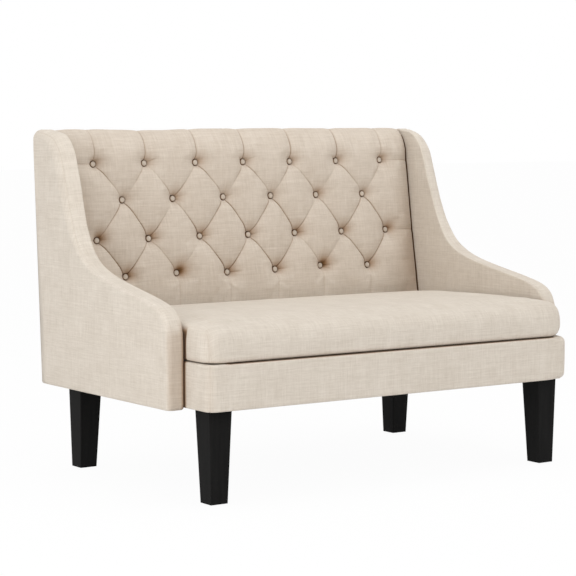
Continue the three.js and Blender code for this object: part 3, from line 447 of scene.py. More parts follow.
def swelled(shape, pressure, cap, held, slack=0.0):
    """Lets the cloth of a shape swell against how strongly each point is held."""
    mesh = bpy.data.meshes.new("swelling")
    shape.to_mesh(mesh)
    blank = bpy.data.objects.new("swelling", mesh)
    scene.collection.objects.link(blank)
    group = blank.vertex_groups.new(name="held")
    rest = [vert.co.copy() for vert in mesh.vertices]
    for index, place in enumerate(rest):
        group.add([index], held(index, place), "REPLACE")
    modifier = blank.modifiers.new("swell", "CLOTH")
    cloth = modifier.settings
    cloth.quality = 5
    cloth.mass = 0.3
    cloth.tension_stiffness = CLOTH_STIFFNESS
    cloth.compression_stiffness = CLOTH_STIFFNESS
    cloth.shear_stiffness = CLOTH_STIFFNESS / 2
    cloth.bending_stiffness = 0.4
    cloth.use_pressure = True
    cloth.uniform_pressure_force = pressure
    cloth.vertex_group_mass = "held"
    cloth.pin_stiffness = 1.5
    cloth.shrink_min = -slack
    cloth.effector_weights.gravity = 0
    modifier.collision_settings.use_collision = False
    modifier.collision_settings.use_self_collision = False
    modifier.point_cache.frame_start = 1
    modifier.point_cache.frame_end = SWELL_FRAMES
    for step in range(1, SWELL_FRAMES + 1):
        scene.frame_set(step)
    graph = bpy.context.evaluated_depsgraph_get()
    swollen = blank.evaluated_get(graph).data
    shape.verts.ensure_lookup_table()
    shape.normal_update()
    for vert, before, after in zip(shape.verts, rest, swollen.vertices):
        move = after.co - before
        # The filling keeps the cloth from sinking in.
        move -= vert.normal * min(move.dot(vert.normal), 0.0)
        if move.length > cap:
            move *= cap / move.length
        vert.co = before + move
    bpy.data.objects.remove(blank)
    scene.frame_set(1)
    return shape


def swollen_net(columns, rows, place, held, pressure, cap, slack):
    """How far each share of a piece moves when a coarse net of its cloth swells."""
    shape = mapped_grid(columns, rows, place)
    knots = [(i % (columns + 1) / columns, i // (columns + 1) / rows) for i in range(len(shape.verts))]
    before = [vert.co.copy() for vert in shape.verts]
    swelled(shape, pressure, cap, lambda index, at: held(*knots[index]), slack)
    moves = [vert.co - at for vert, at in zip(shape.verts, before)]
    shape.free()

    def move_at(across, along):
        u = min(max(across, 0), 1) * columns
        v = min(max(along, 0), 1) * rows
        i, j = min(int(u), columns - 1), min(int(v), rows - 1)
        at = j * (columns + 1) + i
        low = moves[at].lerp(moves[at + 1], u - i)
        high = moves[at + columns + 1].lerp(moves[at + columns + 2], u - i)
        return low.lerp(high, v - j)

    return move_at


# ---------------------------------------------------------------- buttoned back
BACK_BOTTOM_Z = 0.3555
BACK_HALF = INNER_HALF
ROLL_START_Z = ROW_Z[0] + 0.008
BACK_TOP_Z = TOP_Z - 0.0038
BACK_REAR_Y = REAR_Y - 0.0056
REAR_TURN = 0.008
REAR_FALL = 0.016
PUFF = 0.025
TURN_IN = 0.030
PROFILE_STEPS = 60
TURN_STEPS = 8
FALL_STEPS = 4


def back_profile():
    """Points up the unpuffed front of the back, over its roll and down behind it."""
    points = []
    for i in range(PROFILE_STEPS + 1):
        z = BACK_BOTTOM_Z + (ROLL_START_Z - BACK_BOTTOM_Z) * i / PROFILE_STEPS
        points.append(Vector((button_plane_y(z), z)))
    start = points[-1]
    depth = BACK_REAR_Y - REAR_TURN - start.x
    rise = BACK_TOP_Z - start.y
    for i in range(1, PROFILE_STEPS + 1):
        turn = math.pi / 2 * i / PROFILE_STEPS
        points.append(start + Vector((depth * (1 - math.cos(turn)), rise * math.sin(turn))))
    crest = len(points) - 1
    for i in range(1, TURN_STEPS + 1):
        turn = math.pi / 2 * i / TURN_STEPS
        points.append(points[crest] + Vector((math.sin(turn), math.cos(turn) - 1)) * REAR_TURN)
    behind = points[-1]
    for i in range(1, FALL_STEPS + 1):
        points.append(behind - Vector((0, REAR_FALL * i / FALL_STEPS)))
    levels = [BACK_BOTTOM_Z]
    for before, after in zip(points, points[1:]):
        levels.append(levels[-1] + (after - before).length)
    return points, levels, levels[crest]


PROFILE, LEVELS, CREST_LEVEL = back_profile()
LEVEL_STRETCH = math.hypot(1, BACK_SLOPE)
LAST_LEVEL = LEVELS[-1]


def level_of(z):
    """How far along the profile a height on the button plane lies."""
    return LEVELS[0] + (z - BACK_BOTTOM_Z) * LEVEL_STRETCH


def on_profile(level):
    """Point and outward normal, both (y, z), at a distance along the profile."""
    i = min(max(bisect.bisect_left(LEVELS, level), 1), len(LEVELS) - 1)
    share = (level - LEVELS[i - 1]) / (LEVELS[i] - LEVELS[i - 1])
    here = PROFILE[i - 1].lerp(PROFILE[i], share)
    along = (PROFILE[min(i + 2, len(PROFILE) - 1)] - PROFILE[max(i - 3, 0)]).normalized()
    return here, Vector((-along.y, along.x))


ROW_LEVEL = tuple(level_of(z) for z in ROW_Z)
ROLL_LEVEL = level_of(ROLL_START_Z)
ROW_SPOTS = tuple(tuple((x, level_of(z)) for x, z in row) for row in BUTTON_ROWS)
BUTTON_SPOTS = [spot for row in ROW_SPOTS for spot in row]

# How firmly each slanting pleat is drawn at its upper and at its lower end, row by row from the left.
PLEAT_PULL = (
    ((0.65, 0.20), (0.36, 0.06), (0.14, 0.40), (0.16, 0.60), (0.62, 0.34), (0.38, 0.08),
     (0.58, 0.24), (0.52, 0.12), (0.20, 0.60), (0.06, 0.10), (0.58, 0.24), (0.38, 0.12)),
    ((0.70, 0.42), (0.92, 1.00), (0.05, 0.65), (0.32, 1.05), (0.74, 0.58), (0.92, 1.00),
     (0.70, 0.58), (0.95, 1.05), (0.10, 0.60), (0.42, 1.00), (0.66, 0.55), (0.92, 0.90)),
    ((0.90, 1.35), (0.50, 1.05), (0.30, 0.50), (0.03, 0.10), (0.75, 1.25), (0.55, 1.05),
     (0.75, 1.15), (0.40, 0.95), (0.15, 0.32), (0.05, 0.28), (0.75, 1.15), (0.85, 0.95)),
)
# How firmly the other pleats are drawn, and how much shade is painted round each button.
UPPER_PULL = (0.60, 0.95, 1.00, 1.05, 1.10, 1.15, 0.60)
LOWER_PULL = 0.22
SIDE_PULL = 0.55
BUTTON_SHADE = (
    0.80, 0.70, 0.90, 0.75, 0.70, 0.75, 0.80,
    0.45, 0.90, 0.55, 0.50, 0.90, 0.60,
    1.30, 1.10, 1.05, 0.90, 1.15, 1.05, 1.15,
    1.20, 1.60, 1.05, 1.10, 1.55, 1.05,
)
# How far the outermost pleats run on past the cloth, and how far the side ones drop on their way out.
PAST_CLOTH = 0.01
SIDE_DROP = 0.003


def back_pleats():
    """Each pleat as its upper end, its lower end, its pull and its kind."""
    pleats = []
    for row in range(3):
        pulls = iter(PLEAT_PULL[row])
        for x0, upper in zip(ROW_X[row], ROW_SPOTS[row]):
            for x1, lower in zip(ROW_X[row + 1], ROW_SPOTS[row + 1]):
                if abs(x0 - x1) < PITCH:
                    pleats.append((upper, lower, next(pulls), "slanting"))
    for (x, level), pull in zip(ROW_SPOTS[0], UPPER_PULL):
        pleats.append(((x, LAST_LEVEL + PAST_CLOTH), (x, level), (pull, pull), "upper"))
    for x, level in ROW_SPOTS[3]:
        pleats.append(((x, level), (x, LEVELS[0]), (LOWER_PULL, LOWER_PULL), "lower"))
    for row in (0, 2):
        for side, (x, level) in ((-1, ROW_SPOTS[row][0]), (1, ROW_SPOTS[row][-1])):
            outer = (side * (BACK_HALF + PAST_CLOTH), level - SIDE_DROP)
            pleats.append((outer, (x, level), (SIDE_PULL, SIDE_PULL), "side"))
    return [(Vector(upper), Vector(lower), pull, kind) for upper, lower, pull, kind in pleats]


PLEATS = back_pleats()
# The short tucks that run out from each button: direction in degrees, length in millimetres, strength.
BUTTON_TUCKS = (
    ((35, 22, 0.5),), ((22, 36, 1.3), (-18, 30, 0.4), (150, 15, 0.4)), ((30, 20, 0.5), (-58, 15, 0.5)),
    ((146, 24, 1.2), (23, 38, 0.9)), ((8, 30, 0.5), (-60, 13, 0.4)), ((148, 26, 1.3), (40, 18, 0.4)),
    ((60, 18, 0.5),),
    ((0, 36, 0.25),), ((118, 13, 1.1), (46, 20, 0.9), (15, 36, 0.9), (-22, 38, 0.8)), ((12, 24, 1.1),),
    ((90, 12, 0.4),), ((122, 14, 1.1), (52, 19, 1.3), (-62, 13, 0.5), (3, 60, 0.25)),
    ((75, 14, 0.6), (15, 20, 0.3)),
    ((2, 22, 1.1), (30, 24, 0.9)), ((-2, 34, 1.6), (36, 26, 1.1), (125, 18, 0.8)),
    ((0, 34, 1.1), (42, 18, 0.9), (128, 14, 0.8)), ((4, 24, 1.5), (45, 16, 0.7)),
    ((3, 34, 1.4), (34, 24, 1.3), (-12, 55, 0.3)), ((40, 22, 1.2), (-5, 16, 0.4)), ((18, 26, 0.9),),
    ((0, 26, 1.0), (40, 20, 0.9)), ((30, 26, 1.1), (125, 22, 0.7), (-45, 22, 0.5)),
    ((1, 40, 1.5), (180, 16, 0.8), (42, 16, 0.6)), ((2, 40, 1.5), (176, 14, 0.5)),
    ((0, 44, 1.5), (-27, 38, 0.9), (45, 24, 1.0), (120, 20, 0.8)), ((50, 16, 0.7), (160, 12, 0.4)),
)
TUCK_START = 0.008


def button_tucks():
    """The tucks in the form of pleats, each from its tip to its button."""
    tucks = []
    for (x, level), rays in zip(BUTTON_SPOTS, BUTTON_TUCKS):
        foot = Vector((x, level))
        for degrees, length, pull in rays:
            angle = math.radians(degrees)
            tip = foot + Vector((math.cos(angle), math.sin(angle))) * (TUCK_START + length / 1000)
            tucks.append((tip, foot, (pull, pull), "tuck"))
    return tucks


FOLDS = PLEATS + button_tucks()


def along_fold(fold, spot):
    """Distance from a spot to a fold, and its share of the way down."""
    upper, lower = fold[0], fold[1]
    run = lower - upper
    share = min(max((spot - upper).dot(run) / run.length_squared, 0), 1)
    return (spot - upper - run * share).length, share


FOLD_CELL = 0.04
PLEAT_REACH = 0.042
FOLD_REACH = 0.020


def folds_by_cell(folds, reach):
    """The folds that pass near each small square of the back."""
    cells = {}
    for fold in folds:
        columns, rows = (
            range(math.floor((min(ends) - reach) / FOLD_CELL), math.floor((max(ends) + reach) / FOLD_CELL) + 1)
            for ends in zip(fold[0], fold[1])
        )
        for i in columns:
            for j in rows:
                cells.setdefault((i, j), []).append(fold)
    return cells


PLEATS_NEAR = folds_by_cell(PLEATS, PLEAT_REACH)
FOLDS_NEAR = folds_by_cell(FOLDS, FOLD_REACH)
BUTTONS_FINDER = KDTree(len(BUTTON_SPOTS))
for spot_index, (spot_x, spot_level) in enumerate(BUTTON_SPOTS):
    BUTTONS_FINDER.insert((spot_x, spot_level, 0), spot_index)
BUTTONS_FINDER.balance()

BUTTON_RIM = 0.0092
WELL_DEPTH = 0.007
# Half the width of a pleat's slot.
SLOT_HALF = 0.0012


def fold_cell(x, level):
    return math.floor(x / FOLD_CELL), math.floor(level / FOLD_CELL)


# How far the crest of the back rises or sinks along the settee, as (x, rise).
CREST_RISE = (
    (-0.46, 0.0), (-0.392, -0.0016), (-0.30, -0.0030), (-0.24, -0.0032), (-0.17, 0.0006), (-0.12, 0.0013),
    (0.02, 0.0014), (0.15, 0.0026), (0.27, 0.0014), (0.40, 0.0018), (0.50, 0.0022), (0.58, 0.0012),
)
# What share of the puffs' height is left beside the wings, as (z, share).
SIDE_FULLNESS = ((0.37, 0.40), (0.42, 0.82), (0.45, 0.76), (0.55, 0.60), (0.66, 0.46), (0.80, 0.36))
SIDE_REACH = 0.045
LOW_FULLNESS = 0.62
PLEAT_SINK = 0.22
DIMPLE_REACH = 0.0165
ROLL_FLATTENING = 0.84


def puff_at(x, level):
    """How far the puffed cover stands out from the button plane."""
    spot = Vector((x, level))
    height = 1.0
    for pleat in PLEATS_NEAR.get(fold_cell(x, level), ()):
        distance, _ = along_fold(pleat, spot)
        if distance < PLEAT_REACH:
            height *= 1 - PLEAT_SINK * min(max(pleat[2]), 1) * (1 - distance / PLEAT_REACH) ** 2
    for _, _, distance in BUTTONS_FINDER.find_n((x, level, 0), 2):
        height *= 1 - math.exp(-((distance / DIMPLE_REACH) ** 1.45))
    from_side = min(max(BACK_HALF - abs(x), 0) / SIDE_REACH, 1)
    side_full = looked_up(SIDE_FULLNESS, BACK_BOTTOM_Z + (level - LEVELS[0]) / LEVEL_STRETCH)
    height *= side_full + (1 - side_full) * math.sin(math.pi / 2 * from_side)
    low_full = LOW_FULLNESS + (1 - LOW_FULLNESS) * smoothstep(LEVELS[0] + 0.05, ROW_LEVEL[3], level)
    height *= low_full + (1 - low_full) * (1 - from_side)
    over = min(max(level - ROLL_LEVEL, 0) / (CREST_LEVEL - ROLL_LEVEL), 1)
    height *= 1 - ROLL_FLATTENING * over ** 1.6
    rise = smoothstep(CREST_LEVEL - 0.045, CREST_LEVEL - 0.008, level)
    rise *= 1 - smoothstep(CREST_LEVEL + 0.003, CREST_LEVEL + 0.018, level)
    stand = PUFF * height * (1 - smoothstep(CREST_LEVEL - 0.012, CREST_LEVEL + 0.006, level))
    return stand + looked_up(CREST_RISE, x) * rise


# How deep each kind of fold cuts in where it is drawn with a pull of 1.
FOLD_DEPTH = {"slanting": 0.0068, "upper": 0.0054, "lower": 0.0050, "side": 0.0030, "tuck": 0.0034}


def pull_of(fold, share):
    """How deep a fold's slot is at a share of the way down."""
    kind = fold[3]
    top, foot = fold[2]
    depth = FOLD_DEPTH[kind] * top
    if kind == "tuck":
        return depth * smoothstep(0, 0.8, share)
    if kind == "upper":
        return depth * (0.28 + 0.72 * smoothstep(0.30, 1, share))
    if kind != "slanting":
        return depth
    drawn = top + (foot - top) * smoothstep(0.30, 0.78, share)
    slack = 0.35 * smoothstep(0.35, 0, abs(share - 0.5))
    return FOLD_DEPTH[kind] * drawn * smoothstep(0.02, 0.16, share) * (1 - slack)


# Half widths of what a fold draws in and of the shade painted along it, and how much shade is painted for each
# metre of its depth.
TUCK_HALF, TUCK_SHADE_HALF = 0.0021, 0.0019
VALLEY_HALF, UPPER_VALLEY_HALF = 0.0065, 0.016
SLOT_SHARE = 0.72
UPPER_VALLEY = 0.0008
TUCK_SHADE_PAINT, PLEAT_SHADE_PAINT = 85, 140
# The shade painted beside a button: how far it is felt, which way it leans and where it begins.
SHADE_FELT = 0.055
SHADE_LEAN = math.radians(42)
SHADE_START = 0.0095
# The most shade painted on any point.
MOST_SHADE_PAINTED = 0.95


def fold_at(x, level):
    """How deep the folds cut in here, and how much shade is painted on the cloth."""
    spot = Vector((x, level))
    depth = painted_shade = 0.0
    for fold in FOLDS_NEAR.get(fold_cell(x, level), ()):
        distance, share = along_fold(fold, spot)
        if distance > FOLD_REACH:
            continue
        pull = pull_of(fold, share)
        # Each fold cuts in and has shade painted along its bottom.
        if fold[3] == "tuck":
            cut = pull * bell(distance, TUCK_HALF)
            painted_brown = TUCK_SHADE_PAINT * pull * bell(distance, TUCK_SHADE_HALF)
        else:
            slot = max(1 - distance / SLOT_HALF, 0)
            cut = pull * (SLOT_SHARE * slot + (1 - SLOT_SHARE) * bell(distance, VALLEY_HALF))
            painted_brown = PLEAT_SHADE_PAINT * pull * max(1 - distance / (1.35 * SLOT_HALF), 0)
        if fold[3] == "upper":
            toward_crest = smoothstep(ROW_LEVEL[0], CREST_LEVEL, level)
            cut += UPPER_VALLEY * bell(distance, UPPER_VALLEY_HALF) * toward_crest
        depth = max(depth, cut)
        painted_shade = max(painted_shade, painted_brown)
    near, index, distance = BUTTONS_FINDER.find((x, level, 0))
    if distance < SHADE_FELT:
        well = 1 - smoothstep(BUTTON_RIM - 0.0012, BUTTON_RIM + 0.0018, distance)
        depth = max(depth * smoothstep(0.004, 0.0105, distance), 0) + WELL_DEPTH * well
        # Shade painted round the button: a dark ring in its well and a shade leaning up and to the right.
        angle = math.atan2(level - near[1], x - near[0])
        lean = 0.5 + 0.5 * math.cos(angle - SHADE_LEAN)
        reach = 0.005 + 0.010 * lean * min(BUTTON_SHADE[index], 1.4)
        shade = (0.10 + 0.40 * lean ** 1.5) * math.exp(-((max(distance - SHADE_START, 0) / reach) ** 1.4))
        shade *= BUTTON_SHADE[index]
        rim = min(0.60 + 0.28 * BUTTON_SHADE[index], 0.94)
        painted_shade = max(painted_shade, rim * well, shade) + 0.25 * min(shade, painted_shade)
    # Shade painted over the whole back, fainter at its foot, and heavier near its sides from the top row down.
    shade_tint = 0.045 + 0.075 * smoothstep(LEVELS[0] + 0.06, ROW_LEVEL[3], level)
    shade_tint += 0.25 * smoothstep(0.11, 0.0, BACK_HALF - abs(x)) * smoothstep(ROW_LEVEL[0], LEVELS[0] + 0.08, level)
    painted_shade = shade_tint + painted_shade * (1 - shade_tint)
    return depth * (1 - smoothstep(CREST_LEVEL, CREST_LEVEL + 0.012, level)), min(painted_shade, MOST_SHADE_PAINTED)


# The flat size of the back's cloth.
BACK_CLOTH_WIDTH = 2 * (BACK_HALF + TURN_IN)
BACK_CLOTH_HEIGHT = LAST_LEVEL - LEVELS[0]
SIDE_ROUNDING, SIDE_ROUNDING_REACH = 0.0060, 0.007


def back_spot(across, along):
    return (across - 0.5) * BACK_CLOTH_WIDTH, LEVELS[0] + along * BACK_CLOTH_HEIGHT


def back_place(x, level, extra=0.0):
    """Where a spot of the back's cloth lies, its sides turned in beside the wings."""
    inner = min(max(x, -BACK_HALF), BACK_HALF)
    beyond = abs(x) - abs(inner)
    rounding = SIDE_ROUNDING * (1 - smoothstep(0, SIDE_ROUNDING_REACH, BACK_HALF - abs(inner))) ** 2
    point, out = on_profile(level)
    stand = puff_at(inner, level) + extra - beyond - rounding
    return Vector((inner, point.x + stand * out.x, point.y + stand * out.y))


def back_held(across, along):
    """How firmly the buttons, the pleats and the edges hold the back's cloth."""
    x, level = back_spot(across, along)
    firm = bell(BUTTONS_FINDER.find((x, level, 0))[2], 0.012)
    spot = Vector((x, level))
    for pleat in PLEATS_NEAR.get(fold_cell(x, level), ()):
        firm = max(firm, 0.9 * min(max(pleat[2]), 1) * bell(along_fold(pleat, spot)[0], 0.008))
    firm = max(firm, smoothstep(BACK_HALF - 0.016, BACK_HALF - 0.004, abs(x)))
    firm = max(firm, smoothstep(CREST_LEVEL - 0.03, CREST_LEVEL, level))
    firm = max(firm, smoothstep(LEVELS[0] + 0.08, LEVELS[0] + 0.04, level))
    return min(firm, 1.0)


def finer_near_buttons(shape, radius):
    """Halves the faces round each button."""
    edges = set()
    for face in shape.faces:
        at = face.calc_center_median()
        if BUTTONS_FINDER.find((at.x, at.y, 0))[2] < radius:
            edges.update(face.edges)
    bmesh.ops.subdivide_edges(shape, edges=list(edges), cuts=1, use_grid_fill=True)


def cut_along(shape, fold, offsets, reach):
    """Cuts rows of edges along a fold, so that its slot is sharp."""
    upper, lower = fold[0], fold[1]
    run = (lower - upper).normalized()
    side = Vector((-run.y, run.x, 0))
    low_x, high_x = min(upper.x, lower.x) - reach, max(upper.x, lower.x) + reach
    low_y, high_y = min(upper.y, lower.y) - reach, max(upper.y, lower.y) + reach
    near = []
    for face in shape.faces:
        x, y, _ = face.verts[0].co
        if low_x < x < high_x and low_y < y < high_y:
            if along_fold(fold, face.calc_center_median().xy)[0] < reach:
                near.append(face)
    geometry = with_rims(near)
    for offset in offsets:
        through = Vector((upper.x, upper.y, 0)) + side * offset
        cut = bmesh.ops.bisect_plane(shape, geom=geometry, dist=MERGE, plane_co=through, plane_no=side)
        geometry = cut["geom"]


# How finely the back's cloth is divided, also for its swelling, and where its pleats are cut.
BACK_NET = (200, 116)
BACK_GRID = (292, 168)
FINER_ROUND_BUTTONS = (0.024, 0.0135)
PLEAT_CUTS = (-0.0036, -SLOT_HALF, 0.0, SLOT_HALF, 0.0036)
PLEAT_CUT_REACH = 0.0075
BACK_PRESSURE = 2.2


def make_back():
    move_at = swollen_net(
        *BACK_NET, lambda across, along: back_place(*back_spot(across, along)), back_held,
        BACK_PRESSURE, cap=0.008, slack=0.012,
    )
    shape = mapped_grid(*BACK_GRID, lambda across, along: Vector((*back_spot(across, along), 0)), back_spot)
    for radius in FINER_ROUND_BUTTONS:
        finer_near_buttons(shape, radius)
    for pleat in PLEATS:
        cut_along(shape, pleat, PLEAT_CUTS, PLEAT_CUT_REACH)
    cloth = shape.loops.layers.uv["cloth"]
    for face in shape.faces:
        for loop in face.loops:
            loop[cloth].uv = loop.vert.co.xy
    painted_shade = painted_shade_layer(shape)
    for vert in shape.verts:
        x, level = vert.co.xy
        depth, painted_brown = fold_at(x, level)
        # Shade painted along the back's sides, where they meet the wings, fading out towards the crest.
        edge = smoothstep(BACK_HALF - 0.0035, BACK_HALF - 0.0010, abs(x))
        edge *= smoothstep(CREST_LEVEL + 0.01, CREST_LEVEL - 0.03, level)
        move = move_at(x / BACK_CLOTH_WIDTH + 0.5, (level - LEVELS[0]) / BACK_CLOTH_HEIGHT)
        vert.co = back_place(x, level, -depth) + move
        vert[painted_shade] = max(painted_brown, MOST_SHADE_PAINTED * edge)
    back = new_piece("buttoned_back", shape, linen, ("back_cover", "back_foam"))
    lined(back, 0.0026)
    return back


make_back()


# ---------------------------------------------------------------- covered buttons
def turned_profile(shape, profile, sides, place, turn):
    """Spins a profile of (radius, height) points about +Z, then sets it in place."""
    verts = [shape.verts.new((radius, 0, height)) for radius, height in profile]
    edges = [shape.edges.new(pair) for pair in zip(verts, verts[1:])]
    bmesh.ops.spin(
        shape, geom=[*verts, *edges], cent=(0, 0, 0), axis=(0, 0, 1), angle=math.tau,
        steps=sides, use_merge=True, use_duplicate=False,
    )
    bmesh.ops.remove_doubles(shape, verts=[vert for vert in shape.verts if not vert.tag], dist=MERGE)
    made = [vert for vert in shape.verts if not vert.tag]
    bmesh.ops.transform(shape, matrix=Matrix.Translation(place) @ turn, verts=made)
    for vert in made:
        vert.tag = True
    return made


STEM_DEPTH = 0.0235
TWINE_RADIUS = 0.0014
BUTTON_PROFILE = (
    (0.0, 0.0088), (0.0020, 0.0087), (0.0040, 0.0084), (0.0056, 0.0078), (0.0068, 0.0069), (0.0077, 0.0055),
    (0.0082, 0.0038), (0.0081, 0.0019), (0.0073, 0.0004), (0.0055, -0.0004), (0.0016, -0.0006),
    (0.0016, -STEM_DEPTH), (0.0, -STEM_DEPTH),
)
BUTTON_SIDES = 28
# Shade painted on each button's rim and on its stem.
BUTTON_RIM_SHADE, STEM_SHADE = 0.80, 0.92


def make_button_row(row):
    """The covered buttons of a row with their stems and the twine behind them."""
    shape = bmesh.new()
    painted_shade = painted_shade_layer(shape)
    turn = Matrix.Rotation(math.pi / 2 - LEAN, 4, "X")
    z = ROW_Z[row]
    front = turn.to_3x3() @ Vector((0, 0, 1))
    for x, (button_x, button_z) in zip(ROW_X[row], BUTTON_ROWS[row]):
        place = Vector((x, button_plane_y(z), z))
        pulled = Vector((button_x, button_plane_y(button_z), button_z)) - place
        for vert in turned_profile(shape, BUTTON_PROFILE, BUTTON_SIDES, place, turn):
            offset = vert.co - place
            height = offset.dot(front)
            across = (offset - front * height).length
            vert.co += pulled * smoothstep(-STEM_DEPTH, -0.006, height)
            vert[painted_shade] = BUTTON_RIM_SHADE * smoothstep(0.0066, 0.0080, across) if height > 0 else STEM_SHADE
    behind = Vector((0, button_plane_y(z), z)) - front * STEM_DEPTH
    twine = bmesh.ops.create_cone(
        shape, cap_ends=True, segments=10, radius1=TWINE_RADIUS, radius2=TWINE_RADIUS,
        depth=2 * (ROW_X[row][-1] + 0.008),
    )
    matrix = Matrix.Translation(behind) @ Matrix.Rotation(math.pi / 2, 4, "Y")
    bmesh.ops.transform(shape, matrix=matrix, verts=twine["verts"])
    bmesh.ops.recalc_face_normals(shape, faces=shape.faces)
    box_cloth_map(shape, (0.37 * row, 0.21))
    number = str(row + 1)
    return new_piece("covered_buttons_" + number, shape, button_linen, ("button_row_" + number,))


for button_row in range(4):
    make_button_row(button_row)


# ---------------------------------------------------------------- wings
WING_FRONT_Y = FRONT_Y + 0.108
WING_REAR_RADIUS = 0.003
WING_FOOT_RADIUS = 0.006
WING_TOP_RADIUS = 0.022
# How far behind its edge a wing bends into its straight part.
WING_BEND = 0.055
# How far ahead of the back's side edge the shade painted in the groove between the back and a wing begins.
GROOVE_DEPTH = 0.0050
INNER_FACE_REACH = 0.006
# Radius of a wing's outer and inner front edge at each height.
WING_OUTER_EDGE = (
    (0.46, 0.014), (0.50, 0.011), (0.56, 0.011), (0.64, 0.029), (0.70, 0.036), (0.75, 0.039),
)
WING_INNER_EDGE = ((0.42, 0.009), (0.50, 0.004))
# The wing's edge from its foot to the rear of its top, as shares of its depth and height.
WING_SLOPE_SHARES = (
    (0, 0), (0, 0.12), (0, 0.247), (0.008, 0.292), (0.033, 0.339), (0.086, 0.37), (0.19, 0.395),
    (0.338, 0.423), (0.471, 0.452), (0.567, 0.486), (0.632, 0.533), (0.683, 0.611),
    (0.717, 0.69), (0.746, 0.775), (0.776, 0.862), (0.796, 0.913), (0.825, 0.951),
    (0.87, 0.983), (0.966, 1), (1, 1),
)


def smooth_run(points, steps):
    """A smooth run through points."""
    run = []
    last = len(points) - 1
    for i in range(last):
        p0, p1, p2, p3 = (points[min(max(i + k, 0), last)] for k in (-1, 0, 1, 2))
        for step in range(steps):
            t = step / steps
            bend = (2 * p0 - 5 * p1 + 4 * p2 - p3) * t * t + (3 * p1 - p0 - 3 * p2 + p3) * t ** 3
            run.append(0.5 * (2 * p1 + (p2 - p0) * t + bend))
    return run + [points[-1]]


def evened(run, count):
    """The same run in steps of one length."""
    lengths = [0.0]
    for before, after in zip(run, run[1:]):
        lengths.append(lengths[-1] + (after - before).length)
    points = []
    for k in range(count + 1):
        at = lengths[-1] * k / count
        i = min(max(bisect.bisect_left(lengths, at), 1), len(run) - 1)
        points.append(run[i - 1].lerp(run[i], (at - lengths[i - 1]) / (lengths[i] - lengths[i - 1])))
    return points


EDGE_STEPS = 400
SPANS_BETWEEN_SHARES = 10
WING_EDGE = evened(smooth_run([
    Vector((WING_FRONT_Y + a * (REAR_Y - WING_FRONT_Y), WING_FOOT_Z + b * (TOP_Z - WING_FOOT_Z)))
    for a, b in WING_SLOPE_SHARES
], SPANS_BETWEEN_SHARES), EDGE_STEPS)


def wing_edge_at(share):
    """Point on the wing's edge and the way into the wing, both (y, z)."""
    at = min(max(share, 0), 1) * EDGE_STEPS
    i = min(int(at), EDGE_STEPS - 1)
    point = WING_EDGE[i].lerp(WING_EDGE[i + 1], at - i)
    run = WING_EDGE[min(i + 5, EDGE_STEPS)] - WING_EDGE[max(i - 4, 0)]
    if i < 6:
        run = Vector((0, 1))
    if i > EDGE_STEPS - 7:
        run = Vector((1, 0))
    return point, Vector((run.y, -run.x)).normalized()


WING_INNER = WING_INNER_X + EASE
WING_HALF = (WIDTH / 2 - WING_INNER) / 2
WING_MIDDLE = WING_INNER + WING_HALF
# Shares of the way round a wing: its inner face, its edge, its outer face and its rear.
WING_COLUMNS = 150
WING_TURNS = (64 / WING_COLUMNS, 84 / WING_COLUMNS, 146 / WING_COLUMNS, 1.0)
WING_ROWS = 196
CLOSER_AT_EDGE = 1.35


def wing_spot(around):
    """How far in from the edge and how far across the wing a share of the way round lies."""
    inner, edge, outer, rear = WING_TURNS
    if around < inner:
        return (1 - around / inner) ** CLOSER_AT_EDGE, -1.0
    if around < edge:
        return 0.0, -math.cos(math.pi * (around - inner) / (edge - inner))
    if around < outer:
        return ((around - edge) / (outer - edge)) ** CLOSER_AT_EDGE, 1.0
    return 1.0, 1 - 2 * (around - outer) / (rear - outer)


def rounded(depth, lateral, radius, side):
    """Moves a point of a square edge onto one that is round on one side."""
    inner = WING_HALF - radius
    across = lateral * side
    if depth >= radius or across <= inner:
        return depth, lateral
    offset = Vector((depth - radius, across - inner))
    offset *= max(abs(offset.x), abs(offset.y)) / max(offset.length, 1e-9)
    return offset.x + radius, (offset.y + inner) * side


def edge_rounding(place, lateral):
    """Radius and side of the front edge's rounding near a place, which is (y, z)."""
    outer = looked_up(WING_OUTER_EDGE, place.y)
    outer += (min(outer, 0.020) - outer) * smoothstep(0.29, REAR_Y - WING_TOP_RADIUS, place.x)
    if lateral > WING_HALF - outer:
        return outer, 1
    return looked_up(WING_INNER_EDGE, place.y), -1


